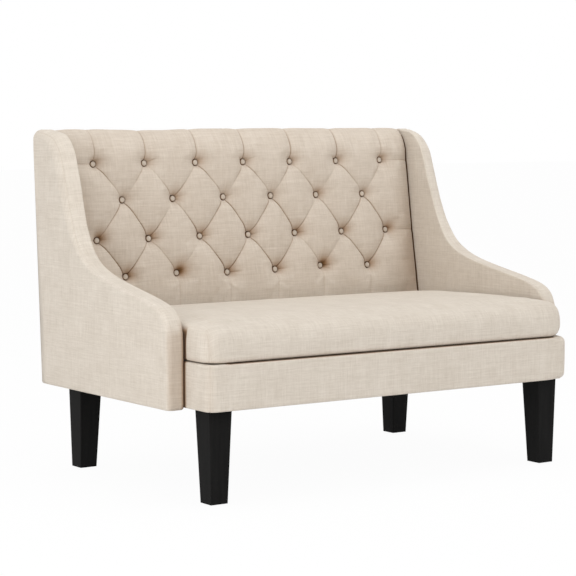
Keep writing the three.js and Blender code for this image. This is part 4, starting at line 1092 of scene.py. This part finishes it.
def wing_place(around, up):
    """Where a share of the right wing's cloth lies, and how far behind the edge."""
    # The rows stand closer together at the foot.
    rise = max(up * 1.02 - 0.02, 0) if up > 0.04 else up * up * 12.98
    edge, way = wing_edge_at(rise)
    inward, sideways = wing_spot(around)
    level = WING_FOOT_Z + (TOP_Z - WING_FOOT_Z) * rise
    rear = Vector((rear_face_y(level), level))
    span = (rear - edge).length
    knee = edge + way * min(0.45 * span, WING_BEND)
    flat = edge * (1 - inward) ** 2 + knee * 2 * inward * (1 - inward) + rear * inward ** 2
    lateral = sideways * WING_HALF
    radius, side = edge_rounding(flat, lateral)
    corner = Vector((REAR_Y - WING_TOP_RADIUS, TOP_Z - WING_TOP_RADIUS))
    offset = flat - corner
    if offset.x > 0 and offset.y > 0:
        reach = max(offset.x, offset.y)
        outward = offset.normalized()
        turn = math.atan2(offset.y, offset.x) / (math.pi / 2)
        radius = WING_REAR_RADIUS + (radius - WING_REAR_RADIUS) * turn
        depth, lateral = rounded(WING_TOP_RADIUS - reach, lateral, radius, side)
        flat = corner + outward * (WING_TOP_RADIUS - depth)
        front_depth = depth
    else:
        front_depth = (flat - edge).dot(way)
        if front_depth < radius:
            depth, lateral = rounded(front_depth, lateral, radius, side)
            flat += way * (depth - front_depth)
        behind = rear_face_y(flat.y) - flat.x
        if behind < WING_REAR_RADIUS:
            depth, lateral = rounded(behind, lateral, WING_REAR_RADIUS, math.copysign(1, lateral))
            flat.x -= depth - behind
    low = max(1 - (flat.y - WING_FOOT_Z) / WING_FOOT_RADIUS, 0)
    tuck = WING_FOOT_RADIUS * (1 - math.sqrt(max(1 - low * low, 0)))
    lateral *= 1 - tuck / WING_HALF
    flat.x += tuck * (1 - 2 * smoothstep(WING_FRONT_Y, REAR_Y - 0.05, flat.x))
    return Vector((WING_MIDDLE + lateral, flat.x, flat.y)), front_depth


def inner_bulge(place):
    """How far the padding of a wing's inner face stands out ahead of the back."""
    ahead = button_plane_y(place.z) - 0.012 - place.y
    return 0.004 * smoothstep(0.64, 0.78, place.z) * smoothstep(0, 0.045, ahead)


SIDE_LINE_STEPS = 80


def back_side_line():
    """The back's side edge from its foot to its crest, as (z, y)."""
    line = []
    for step in range(SIDE_LINE_STEPS + 1):
        spot = back_place(BACK_HALF, LEVELS[0] + (CREST_LEVEL - LEVELS[0]) * step / SIDE_LINE_STEPS)
        line.append((spot.z, spot.y))
    return line


def shade_painted_beside_back(shape, layer, side):
    """Divides a wing's inner face along the back's side edge and paints shade on it from there on, in the
    groove behind the back.
    """
    line = back_side_line()

    def behind_back(place):
        return place.y - looked_up(line, place.z) + GROOVE_DEPTH

    for reach, cuts in ((0.010, 3), (0.0028, 2)):
        near = set()
        for face in shape.faces:
            place = face.calc_center_median()
            inner = abs(place.x * side - WING_INNER) < INNER_FACE_REACH and place.z > SEAM_Z + 0.06
            if inner and abs(behind_back(place)) < reach:
                near.update(face.edges)
        bmesh.ops.subdivide_edges(shape, edges=list(near), cuts=cuts, use_grid_fill=True)
    for vert in shape.verts:
        if abs(vert.co.x * side - WING_INNER) < INNER_FACE_REACH and vert.co.z > SEAM_Z + 0.05:
            # Shade painted in the groove, fading out near the top.
            fade = smoothstep(TOP_Z - 0.004, TOP_Z - 0.03, vert.co.z)
            vert[layer] = max(vert[layer], 0.93 * smoothstep(-0.0004, 0.0008, behind_back(vert.co)) * fade)


def wing_held(around, up):
    """How firmly a wing's cloth is held: it is loose on the outer face only."""
    place, depth = wing_place(around, up)
    outside = smoothstep(WING_MIDDLE + 0.4 * WING_HALF, WING_MIDDLE + 0.9 * WING_HALF, place.x)
    loose = outside * smoothstep(0.03, 0.07, depth) * smoothstep(0.005, 0.03, place.z - WING_FOOT_Z)
    loose *= smoothstep(0.004, 0.03, rear_face_y(place.z) - place.y)
    return 1 - loose


def make_wing(side_name, side, move_at):
    """A wing's padded cover, the left one as the right one seen in a mirror."""
    painted_shades = []

    def place(around, up):
        spot, depth = wing_place(around, up)
        inward, sideways = wing_spot(around)
        outside = smoothstep(0.2, 0.95, (spot.x - WING_MIDDLE) / WING_HALF)
        inside = smoothstep(0.2, 0.95, (WING_MIDDLE - spot.x) / WING_HALF)
        soft = smoothstep(0.012, 0.09, depth) * smoothstep(0, 0.05, spot.z - WING_FOOT_Z)
        soft *= smoothstep(0, 0.04, rear_face_y(spot.z) - spot.y)
        wave = noise.noise(Vector((spot.y * 7, spot.z * 7, 4.0 + side)))
        from_seam = math.hypot(inward * 0.16, (1 - sideways) * WING_HALF)
        sewn = bell(from_seam, 0.0016) * smoothstep(0.55, 0.62, spot.z)
        # Shade painted on the edge beside the seat, towards its front.
        beside_seat = smoothstep(0.019, 0.001, spot.x - WING_INNER) * smoothstep(0.452, 0.400, spot.z)
        shade_tint = beside_seat * smoothstep(WING_FRONT_Y + 0.03, WING_FRONT_Y + 0.012, spot.y)
        spot += move_at(around, up)
        spot.x += outside * soft * (0.0008 + 0.0009 * wave) - 0.0009 * sewn
        spot.x += inside * soft * 0.0007 * (1 + wave) - smoothstep(0.2, 0.9, inside) * inner_bulge(spot)
        # Shade painted low on the front of the edge; each point keeps the most of it, of the shade beside the
        # seat and of a faint shade along the sewn line.
        low_front_shade = 0.20 * smoothstep(0.46, 0.40, spot.z) * smoothstep(WING_FRONT_Y + 0.012, WING_FRONT_Y, spot.y)
        painted_shades.append(max(0.10 * sewn, 0.66 * shade_tint, low_front_shade))
        return Vector((spot.x * side, spot.y, spot.z))

    def cloth_at(around, up):
        spot, _ = wing_place(around, up)
        inward, sideways = wing_spot(around)
        if abs(sideways) == 1.0:
            return spot.y + 0.3 * side + 0.2 * sideways, spot.z + 0.11
        return spot.x * side, up * 1.1 + 0.5 * side

    shape = mapped_grid(WING_COLUMNS, WING_ROWS, place, cloth_at)
    painted_shade = painted_shade_layer(shape)
    for vert, painted_brown in zip(shape.verts, painted_shades):
        vert[painted_shade] = painted_brown
    shade_painted_beside_back(shape, painted_shade, side)
    bmesh.ops.remove_doubles(shape, verts=shape.verts, dist=0.00003)
    bmesh.ops.dissolve_degenerate(shape, edges=shape.edges, dist=0.00001)
    closed(shape)
    replaced = ("wing_cover_" + side_name, "wing_foam_" + side_name)
    wing = new_piece("wing_" + side_name, shape, linen, replaced)
    return wing


WING_NET = (90, 110)
wing_move = swollen_net(
    *WING_NET, lambda around, up: wing_place(around, up)[0], wing_held, pressure=1.4, cap=0.0045, slack=0.004,
)
for wing_name, wing_side in (("left", -1), ("right", 1)):
    make_wing(wing_name, wing_side, wing_move)


# ---------------------------------------------------------------- seat cushion
SEAT_BOTTOM_Z = SEAM_Z + 0.0003 + EASE
SEAT_HEIGHT = 0.100
SEAT_HALF = WING_INNER_X - 2 * JOINT_GAP - EASE
SEAT_FRONT_Y = FRONT_Y + 0.004
SEAT_REAR_Y = 0.2634
SEAT_CREST_Y = FRONT_Y + 0.260
SEAT_FALL_REAR, SEAT_FALL_FRONT, SEAT_FALL_SIDE = 0.024, 0.003, 0.003
# The cushion's side from its foot to the edge of its top, as shares of its inset and of its height.
SEAT_SECTION = (
    (0.10, 0), (0.04, 0.025), (0.015, 0.06), (0.004, 0.12), (0, 0.20), (0, 0.33), (0, 0.44), (0.012, 0.53),
    (0.035, 0.61), (0.064, 0.67), (0.1, 0.73), (0.17, 0.80), (0.27, 0.86), (0.41, 0.915), (0.58, 0.95),
    (0.78, 0.972), (1, 0.985),
)


def seat_top_z(x, y):
    """The cushion's crown, highest across its middle."""
    end_y, fall = (SEAT_REAR_Y, SEAT_FALL_REAR) if y > SEAT_CREST_Y else (SEAT_FRONT_Y, SEAT_FALL_FRONT)
    fall *= ((y - SEAT_CREST_Y) / (end_y - SEAT_CREST_Y)) ** 2
    return SEAM_Z + SEAT_HEIGHT - fall - SEAT_FALL_SIDE * (x / SEAT_HALF) ** 4


# Radii of the cushion's corners in plan, and the share of the points round it that each run and corner gets.
SEAT_CORNER_LEFT = 0.042
SEAT_CORNER_RIGHT = 0.060
SEAT_CORNER_REAR = 0.014
SEAT_PLAN_SHARES = (0.16, 0.02, 0.30, 0.02, 0.16, 0.03, 0.28, 0.03)


def seat_plan_point(share, half_width, near_y, far_y):
    """A point round the cushion's plan: its perimeter run with round corners."""
    left, right, rear = (
        min(radius, (far_y - near_y) / 3) for radius in (SEAT_CORNER_LEFT, SEAT_CORNER_RIGHT, SEAT_CORNER_REAR)
    )
    legs = [
        ("line", (half_width, near_y + right), (half_width, far_y - rear)),
        ("arc", (half_width - rear, far_y - rear), rear, 0),
        ("line", (half_width - rear, far_y), (rear - half_width, far_y)),
        ("arc", (rear - half_width, far_y - rear), rear, math.pi / 2),
        ("line", (-half_width, far_y - rear), (-half_width, near_y + left)),
        ("arc", (left - half_width, near_y + left), left, math.pi),
        ("line", (left - half_width, near_y), (half_width - right, near_y)),
        ("arc", (half_width - right, near_y + right), right, 3 * math.pi / 2),
    ]
    for leg, span in zip(legs, SEAT_PLAN_SHARES):
        if share <= span or leg is legs[-1]:
            part = min(share / span, 1)
            if leg[0] == "line":
                return tuple(a + (b - a) * part for a, b in zip(leg[1], leg[2]))
            angle = leg[3] + math.pi / 2 * part
            return leg[1][0] + leg[2] * math.cos(angle), leg[1][1] + leg[2] * math.sin(angle)
        share -= span


# Where the corner seams lie: in the middle of each front corner's bend.
BEND_SHARE = 1 - math.sqrt(0.5)
SEAT_SEAMS = (BEND_SHARE * SEAT_CORNER_LEFT - SEAT_HALF, SEAT_HALF - BEND_SHARE * SEAT_CORNER_RIGHT)
SEAT_SEAM_TOP = SEAM_Z + 0.078
SEAM_CUTS = (-0.0022, -0.0009, 0.0, 0.0009, 0.0022)
SEAM_DRAW = 0.0009


def sew_corner_seams(shape, seams, front_y, top_z):
    """Draws in a fine upright seam on each side of the front, and paints shade along it."""
    painted_shade = painted_shade_layer(shape)
    for seam_x in seams:
        for offset in SEAM_CUTS:
            near = [
                face for face in shape.faces
                if abs(face.verts[0].co.x - seam_x) < 0.012 and face.verts[0].co.y < front_y
            ]
            bmesh.ops.bisect_plane(
                shape, geom=with_rims(near), dist=MERGE, plane_co=(seam_x + offset, 0, 0), plane_no=(1, 0, 0),
            )
        for vert in shape.verts:
            if vert.co.y > front_y:
                continue
            upright = 1 - smoothstep(top_z - 0.012, top_z, vert.co.z)
            sewn = max(1 - abs(vert.co.x - seam_x) / 0.0012, 0) * upright
            shade_tint = bell(vert.co.x - seam_x, 0.007) * upright
            vert.co.y += SEAM_DRAW * sewn
            # Shade painted in the seam, and a wider faint shade beside it.
            vert[painted_shade] = max(vert[painted_shade], 0.15 * sewn, 0.055 * shade_tint)


def shade_painted_in_seams(shape):
    """Paints shade on the cloth in the gaps beside the wings, along the foot of the cushion and along the top
    of the border.
    """
    painted_shade = painted_shade_layer(shape)
    for vert in shape.verts:
        x, y, z = vert.co
        beside = smoothstep(0.012, 0.005, SEAT_HALF - abs(x)) * smoothstep(SEAM_Z + 0.092, SEAM_Z + 0.064, z)
        inside = smoothstep(WING_FRONT_Y - 0.0025, WING_FRONT_Y + 0.0010, y) * beside
        painted_brown = 0.92 * inside
        if z > SEAT_BOTTOM_Z:
            above = z - SEAT_BOTTOM_Z
            painted_brown = max(painted_brown, 0.80 * smoothstep(0.0022, 0.0004, above), 0.14 * smoothstep(0.018, 0.0, above))
        else:
            covered = smoothstep(0.535, 0.515, abs(x))
            painted_brown = max(painted_brown, 0.92 * covered * smoothstep(SEAM_Z - 0.0009, SEAM_Z - 0.0002, z))
        vert[painted_shade] = max(vert[painted_shade], painted_brown)


def shape_seat_foot(shape):
    """Squares the cushion's foot, curls its right corner in and leaves room for the deck below."""
    low, high = (Vector(corner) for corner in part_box("deck_cloth"))
    middle_y = (low.y + high.y) / 2
    reach = (high.y - low.y) / 2
    shape.normal_update()
    moves = []
    for vert in shape.verts:
        x, y, z = vert.co
        above = z - SEAT_BOTTOM_Z
        sideways = Vector((vert.normal.x, vert.normal.y))
        low_edge = smoothstep(0.018, 0.002, above) * smoothstep(0.25, 0.7, sideways.length)
        move = Vector((sideways.x, sideways.y, 0)) * 0.0030 * low_edge
        move.z = -0.0012 * low_edge
        corner = smoothstep(0.50, 0.555, x) * smoothstep(-0.30, -0.35, y)
        curl = 0.0140 * corner * max(1 - above / 0.028, 0) ** 2
        move += Vector((-0.75 * curl, 0.65 * curl, 0))
        share = (y - middle_y) / reach
        deck_top = high.z - (high.z - low.z - 0.0015) * share * share + 0.0012
        if vert.normal.z < -0.5 and above < 0.006 and abs(x) < high.x and abs(share) < 1:
            move.z = max(deck_top - z, move.z)
        moves.append(move)
    for vert, move in zip(shape.verts, moves):
        vert.co += move


SEAT_GRID = (300, 64)
SEAT_VOXEL = 0.0075
# The rows of the grid that lie on the cushion's side, beside those that close its top.
SIDE_TO_TOP = 1.45
TOP_ROUNDING = 0.1
# How far the cushion's top edge lies inside its foot at the sides, the front and the rear.
SEAT_INSET_SIDE, SEAT_INSET_FRONT, SEAT_INSET_REAR = 0.018, 0.080, 0.030


def make_seat():
    """The seat cushion, made a little small so that it swells to its size."""
    inset = 0.0015

    def place(around, up):
        ring = up * SIDE_TO_TOP
        if ring <= 1:
            at = ring * (len(SEAT_SECTION) - 1)
            i = min(int(at), len(SEAT_SECTION) - 2)
            a, b = SEAT_SECTION[i], SEAT_SECTION[i + 1]
            share = a[0] + (b[0] - a[0]) * (at - i)
            height = a[1] + (b[1] - a[1]) * (at - i)
            beyond = 0.0
        else:
            share, height = 1.0, 0.985 + 0.015 * min((ring - 1) / TOP_ROUNDING, 1)
            beyond = 0.96 * (ring - 1) / (SIDE_TO_TOP - 1)
        half = SEAT_HALF - inset - share * SEAT_INSET_SIDE
        near = SEAT_FRONT_Y + inset + share * SEAT_INSET_FRONT
        far = SEAT_REAR_Y - inset - share * SEAT_INSET_REAR
        half += (half / 2 - half) * beyond
        near += (SEAT_CREST_Y - near) * beyond
        far += (SEAT_CREST_Y - far) * beyond
        x, y = seat_plan_point(around, half, near, far)
        y -= 0.034 * share * smoothstep(0.40, 0.56, abs(x)) * smoothstep(-0.13, -0.30, y)
        return Vector((x, y, SEAT_BOTTOM_Z + height * (seat_top_z(x, y) - inset - SEAT_BOTTOM_Z)))

    shape = mapped_grid(*SEAT_GRID, place)
    bmesh.ops.remove_doubles(shape, verts=shape.verts, dist=0.00005)
    closed(shape)
    even = remeshed(shape, SEAT_VOXEL, smoothing=3)

    def held(index, place):
        x, y, z = place
        firm = smoothstep(SEAT_BOTTOM_Z + 0.022, SEAT_BOTTOM_Z + 0.006, z)
        firm = max(firm, smoothstep(SEAT_REAR_Y - 0.05, SEAT_REAR_Y - 0.02, y))
        if y > WING_FRONT_Y:
            firm = max(firm, smoothstep(SEAT_HALF - 0.016, SEAT_HALF - 0.006, abs(x)))
        return firm

    swelled(even, pressure=3.0, cap=0.006, held=held)
    bmesh.ops.subdivide_edges(even, edges=even.edges, cuts=1, use_grid_fill=True, smooth=0.0)
    smoothed(even)
    shape_seat_foot(even)
    sew_corner_seams(even, SEAT_SEAMS, SEAT_FRONT_Y + 0.045, SEAT_SEAM_TOP)
    shade_painted_in_seams(even)
    cloth = even.loops.layers.uv.new("cloth")
    for face in even.faces:
        at = face.calc_center_median()
        cornered = at.x < SEAT_SEAMS[0] or at.x > SEAT_SEAMS[1]
        corner = 0.31 if cornered and at.z < SEAT_SEAM_TOP and at.y < WING_FRONT_Y else 0.0
        sideways = abs(face.normal.x) > 0.72
        for loop in face.loops:
            x, y, z = loop.vert.co
            loop[cloth].uv = (y, z + 0.2) if sideways else (x + 0.13 + corner, y + z)
    seat = new_piece("seat_cushion", even, linen, ("seat_cover", "seat_foam"))
    return seat


make_seat()


# ---------------------------------------------------------------- seat box border
BORDER_HALF = INNER_HALF
BORDER_CORNER_LEFT = 0.026
BORDER_CORNER_RIGHT = 0.042
BORDER_REAR_Y = 0.3486
BORDER_FOOT_Z = UNDERSIDE_Z + 0.0013
BORDER_HEIGHT = SEAM_Z - BORDER_FOOT_Z
BORDER_ROUND = 0.0045
BORDER_ROUND_RIGHT = 0.016
BORDER_TOP_LIP = 0.012
BORDER_FOOT_LIP = 0.002


def make_border():
    """The padded border round the front and the sides of the seat box, with its edges turned in."""
    left, right = BORDER_CORNER_LEFT, BORDER_CORNER_RIGHT
    left_side = BORDER_REAR_Y - (FRONT_Y + left)
    right_side = BORDER_REAR_Y - (FRONT_Y + right)
    front = 2 * BORDER_HALF - left - right
    right_middle = left_side + math.pi / 2 * left + front + math.pi / 4 * right
    length = right_middle + math.pi / 4 * right + right_side

    def on_path(run):
        """Point and outward way, both (x, y), along the outer face from the rear left."""
        if run < left_side:
            return Vector((-BORDER_HALF, BORDER_REAR_Y - run)), Vector((-1, 0))
        run -= left_side
        if run < math.pi / 2 * left:
            turn = run / left
            out = Vector((-math.cos(turn), -math.sin(turn)))
            return Vector((left - BORDER_HALF, FRONT_Y + left)) + out * left, out
        run -= math.pi / 2 * left
        if run < front:
            return Vector((left - BORDER_HALF + run, FRONT_Y)), Vector((0, -1))
        run -= front
        if run < math.pi / 2 * right:
            turn = run / right
            out = Vector((math.sin(turn), -math.cos(turn)))
            return Vector((BORDER_HALF - right, FRONT_Y + right)) + out * right, out
        run -= math.pi / 2 * right
        return Vector((BORDER_HALF, FRONT_Y + right + run)), Vector((1, 0))

    def eased(down):
        """Sets the rows closer together near the two edges."""
        return 0.5 - 0.5 * math.cos(math.pi * down)

    def section(share, radius):
        """Depth behind the outer face and height, from the inner top edge down to the inner foot."""
        flat = BORDER_HEIGHT - 2 * radius
        arc = math.pi / 2 * radius
        at = share * (BORDER_TOP_LIP + BORDER_FOOT_LIP + 2 * arc + flat)
        if at < BORDER_TOP_LIP:
            return radius + BORDER_TOP_LIP - at, BORDER_HEIGHT
        at -= BORDER_TOP_LIP
        if at < arc:
            turn = at / radius
            return radius * (1 - math.sin(turn)), BORDER_HEIGHT - radius * (1 - math.cos(turn))
        at -= arc
        if at < flat:
            bulge = -0.0004 * math.sin(math.pi * at / flat)
            return bulge, BORDER_HEIGHT - radius - at
        at -= flat
        if at < arc:
            turn = at / radius
            return radius * (1 - math.cos(turn)), radius * (1 - math.sin(turn))
        at -= arc
        return radius + at, 0.0

    def place(along, down):
        run = along * length
        point, out = on_path(run)
        cornered = 1 - smoothstep(0.018, 0.075, abs(run - right_middle))
        depth, height = section(eased(down), BORDER_ROUND + (BORDER_ROUND_RIGHT - BORDER_ROUND) * cornered)
        wander = 0.0007 * noise.noise(Vector((run * 6, height * 9, 2.0)))
        spot = point - out * (depth + wander)
        return Vector((spot.x, spot.y, BORDER_FOOT_Z + height))

    shape = mapped_grid(560, 40, place, lambda along, down: (along * length, (1 - eased(down)) * 0.13))
    faced(shape, Vector((0, -1, 0)))
    seams = (BEND_SHARE * left - BORDER_HALF, BORDER_HALF - BEND_SHARE * right)
    sew_corner_seams(shape, seams, FRONT_Y + 0.04, SEAM_Z + 0.05)
    shade_painted_in_seams(shape)
    border = new_piece("seat_border", shape, linen, ("base_border",))
    lined(border, 0.0025)
    return border


make_border()


# ---------------------------------------------------------------- outside back and dust cover
PANEL_TUCK, PANEL_TUCK_REACH = 0.0032, 0.009
# The panel follows the mean of the rear face at these heights round a point, so that its bend is soft.
PANEL_BEND = (-0.012, -0.006, 0, 0.006, 0.012)


def make_outside_back():
    """The plain panel that closes the rear of the back."""
    top_z = TOP_Z - 0.009
    height = top_z - UNDERSIDE_Z

    def place(across, up):
        x = (across - 0.5) * 2 * INNER_HALF
        z = UNDERSIDE_Z + height * up
        y = sum(rear_face_y(z + shift) for shift in PANEL_BEND) / len(PANEL_BEND)
        rim = min(INNER_HALF - abs(x), z - UNDERSIDE_Z, top_z - z)
        tuck = PANEL_TUCK * (1 - smoothstep(0, PANEL_TUCK_REACH, rim)) ** 2
        ripple = 0.0006 * noise.noise(Vector((x * 5, z * 6, 9.0)))
        return Vector((x, y - tuck + ripple - JOINT_GAP, z))

    shape = mapped_grid(232, 132, place, lambda across, up: (across * 2 * INNER_HALF, up * height + 0.4))
    faced(shape, Vector((0, 1, 0)))
    panel = new_piece("outside_back_panel", shape, linen, ("outside_back",))
    lined(panel, 0.0018)
    return panel


make_outside_back()


DUST_CORNER = 0.050
DUST_HEM = 0.014
BOLT_HOLE = 0.0115
STAPLE = (0.0100, 0.0012, 0.0005)
STAPLE_FROM_EDGE = 0.008
STAPLES_ACROSS, STAPLE_STEP_ACROSS = 8, 0.062
STAPLES_ALONG, STAPLE_STEP_ALONG = 10, 0.063


def make_dust_cover():
    """The black cloth under the seat box with its staples."""
    low, high = (Vector(corner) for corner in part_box("dust_cover"))
    half = high.x - EASE
    front, rear = low.y + EASE, high.y - EASE
    corner = DUST_CORNER
    cloth_z = UNDERSIDE_Z + 0.0006

    def place(across, along):
        x = (2 * across - 1) * half
        y = front + (rear - front) * along
        offset = Vector((max(abs(x) - (half - corner), 0), max(front + corner - y, 0)))
        if offset.x > 0 and offset.y > 0:
            offset *= max(offset.x, offset.y) / offset.length
            x = math.copysign(half - corner + offset.x, x)
            y = front + corner - offset.y
        rim = min(half - abs(x), y - front, rear - y)
        bays = math.sin(math.pi * abs(x) / half) * math.sin(math.pi * (y - front) / (rear - front))
        sag = 0.0036 * smoothstep(0.03, 0.14, rim) * max(bays, 0)
        ripple = 0.0004 * noise.noise(Vector((x * 9, y * 9, 6.0))) * smoothstep(0, 0.05, rim)
        hem = JOINT_GAP * (1 - smoothstep(DUST_HEM - 0.001, DUST_HEM + 0.001, rim))
        return Vector((x, y, cloth_z - sag + ripple - hem))

    shape = mapped_grid(114, 74, place, lambda across, along: (2 * across * half, along * (rear - front)))
    posts = []
    for name in LEG_PLACES:
        bolt_low, bolt_high = (Vector(corner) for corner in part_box("hanger_bolt_" + name))
        posts.append((bolt_low + bolt_high).xy / 2)
    holes = [
        face for face in shape.faces
        if min((face.calc_center_median().xy - post).length for post in posts) < BOLT_HOLE
    ]
    bmesh.ops.delete(shape, geom=holes, context="FACES")
    faced(shape, Vector((0, 0, -1)))
    cover = new_piece("dust_cover_cloth", shape, dust_cloth, ("dust_cover",))
    lined(cover, 0.0005)

    staples = bmesh.new()
    spots = []
    for k in range(-STAPLES_ACROSS, STAPLES_ACROSS + 1):
        spots += [(STAPLE_STEP_ACROSS * k, y, 0) for y in (front + STAPLE_FROM_EDGE, rear - STAPLE_FROM_EDGE)]
    for k in range(STAPLES_ALONG):
        y = front + corner + 0.02 + STAPLE_STEP_ALONG * k
        spots += [(x, y, 1) for x in (STAPLE_FROM_EDGE - half, half - STAPLE_FROM_EDGE)]
    for x, y, turned in spots:
        made = bmesh.ops.create_cube(staples, size=1.0)["verts"]
        size = (STAPLE[1], STAPLE[0], STAPLE[2]) if turned else STAPLE
        bmesh.ops.scale(staples, vec=size, verts=made)
        bmesh.ops.translate(staples, vec=(x, y, cloth_z - 0.0006), verts=made)
    staples = new_piece("dust_cover_staples", staples, zinc_steel, smooth=False)


make_dust_cover()


GLIDE_PROFILE = (
    (0.0, 0.0), (0.0088, 0.0), (0.0099, 0.0003), (0.0105, 0.0012), (0.0105, 0.0026), (0.0101, 0.0030),
    (0.0015, 0.0030), (0.0015, 0.0175), (0.0, 0.019),
)
GLIDE_SIDES = 40


def make_glide(place_name):
    """A nail glide: a rounded disc with its nail standing up into the leg."""
    low, high = (Vector(corner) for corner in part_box("leg_glide_" + place_name))
    middle = (low + high) / 2
    shape = bmesh.new()
    turned_profile(shape, GLIDE_PROFILE, GLIDE_SIDES, Vector((middle.x, middle.y, 0)), Matrix.Identity(4))
    bmesh.ops.recalc_face_normals(shape, faces=shape.faces)
    return new_piece("glide_" + place_name, shape, dark_glide, ("leg_glide_" + place_name,))


for leg_place in LEG_PLACES:
    make_glide(leg_place)


# ---------------------------------------------------------------- studio
def set_up(name, data, location, way):
    """Puts a lamp or a camera in its place, looking one way."""
    holder = bpy.data.objects.new(name, data)
    holder.location = location
    holder.rotation_euler = way.to_track_quat("-Z", "Y").to_euler()
    scene.collection.objects.link(holder)
    return holder


def mixed_shader(tree, factor, first, second):
    node = tree.nodes.new("ShaderNodeMixShader")
    link(tree, factor, node.inputs["Fac"])
    link(tree, first, node.inputs[1])
    link(tree, second, node.inputs[2])
    return node.outputs["Shader"]


def plain_shader(tree, kind, colour):
    node = tree.nodes.new(kind)
    node.inputs["Color"].default_value = colour
    return node


def seen_directly(tree):
    """1 for what the camera sees, also in gloss and through glass, and 0 for the light on the object."""
    path = tree.nodes.new("ShaderNodeLightPath")
    first = combined(tree, "MAXIMUM", path.outputs["Is Camera Ray"], path.outputs["Is Glossy Ray"])
    return combined(tree, "MAXIMUM", first, path.outputs["Is Transmission Ray"])


WHITE = (1, 1, 1, 1)
FLOOR_GREY = (0.86, 0.86, 0.86, 1)
AMBIENT = 0.75
# What share of the floor looks plain white, while the rest keeps the object's shadow.
FLOOR_WHITE = 0.96
FLOOR_REACH = 30


def add_world():
    world = bpy.data.worlds.new("studio")
    scene.world = world
    world.use_nodes = True
    tree = world.node_tree
    ambient = tree.nodes["Background"]
    set_values(ambient, {"Color": WHITE, "Strength": AMBIENT})
    seen = plain_shader(tree, "ShaderNodeBackground", WHITE)
    seen.inputs["Strength"].default_value = 1.0
    sky = mixed_shader(tree, seen_directly(tree), ambient.outputs["Background"], seen.outputs["Background"])
    link(tree, sky, tree.nodes["World Output"].inputs["Surface"])


def add_floor():
    shape = bmesh.new()
    bmesh.ops.create_grid(shape, x_segments=1, y_segments=1, size=FLOOR_REACH)
    mesh = bpy.data.meshes.new("floor")
    shape.to_mesh(mesh)
    shape.free()
    floor = bpy.data.objects.new("floor", mesh)
    scene.collection.objects.link(floor)
    material, tree, unused_shader = new_finish("pale_floor")
    tree.nodes.remove(unused_shader)
    matt = plain_shader(tree, "ShaderNodeBsdfDiffuse", FLOOR_GREY)
    glow = plain_shader(tree, "ShaderNodeEmission", WHITE)
    share = combined(tree, "MULTIPLY", seen_directly(tree), FLOOR_WHITE)
    pale = mixed_shader(tree, share, matt.outputs["BSDF"], glow.outputs["Emission"])
    # The floor shows from above only, so that the underside can be looked at.
    clear = tree.nodes.new("ShaderNodeBsdfTransparent")
    from_below = tree.nodes.new("ShaderNodeNewGeometry").outputs["Backfacing"]
    one_sided = mixed_shader(tree, from_below, pale, clear.outputs["BSDF"])
    link(tree, one_sided, tree.nodes["Material Output"].inputs["Surface"])
    mesh.materials.append(material)


# Each lamp's place, the point it looks at, its size and its power.
LAMPS = {
    "key": ((-2.6, -2.9, 3.0), (0, 0, 0.5), (2.6, 2.6), 27),
    "side": ((-3.4, -1.2, 0.9), (0, 0, 0.5), (2.4, 1.5), 29),
    "fill": ((2.8, -3.2, 1.6), (0, 0, 0.5), (2.6, 2.0), 19),
    "top": ((0.2, -0.4, 3.4), (0, 0, 0.4), (2.6, 2.0), 30),
}


def add_lamps():
    for name, (place, target, size, power) in LAMPS.items():
        lamp = bpy.data.lights.new(name, "AREA")
        lamp.shape = "RECTANGLE"
        lamp.size, lamp.size_y = size
        lamp.energy = power
        set_up(name, lamp, place, Vector(target) - Vector(place))


# The camera as fitted to the photograph: its place, its turn and its focal length in pixels.
CAMERA_PLACE = (-3.1346, -4.38175, 0.9260)
CAMERA_YAW, CAMERA_PITCH = math.radians(-34.90), math.radians(4.75)
FOCAL_PIXELS = 2011.5
PICTURE_PIXELS = 576


def add_camera():
    lens = bpy.data.cameras.new("camera")
    lens.sensor_width = 36
    lens.lens = FOCAL_PIXELS / PICTURE_PIXELS * lens.sensor_width
    lens.clip_end = 100
    level = math.cos(CAMERA_PITCH)
    way = Vector((-math.sin(CAMERA_YAW) * level, math.cos(CAMERA_YAW) * level, -math.sin(CAMERA_PITCH)))
    scene.camera = set_up("camera", lens, CAMERA_PLACE, way)


add_world()
add_floor()
add_lamps()
add_camera()
scene.view_settings.view_transform = "Standard"
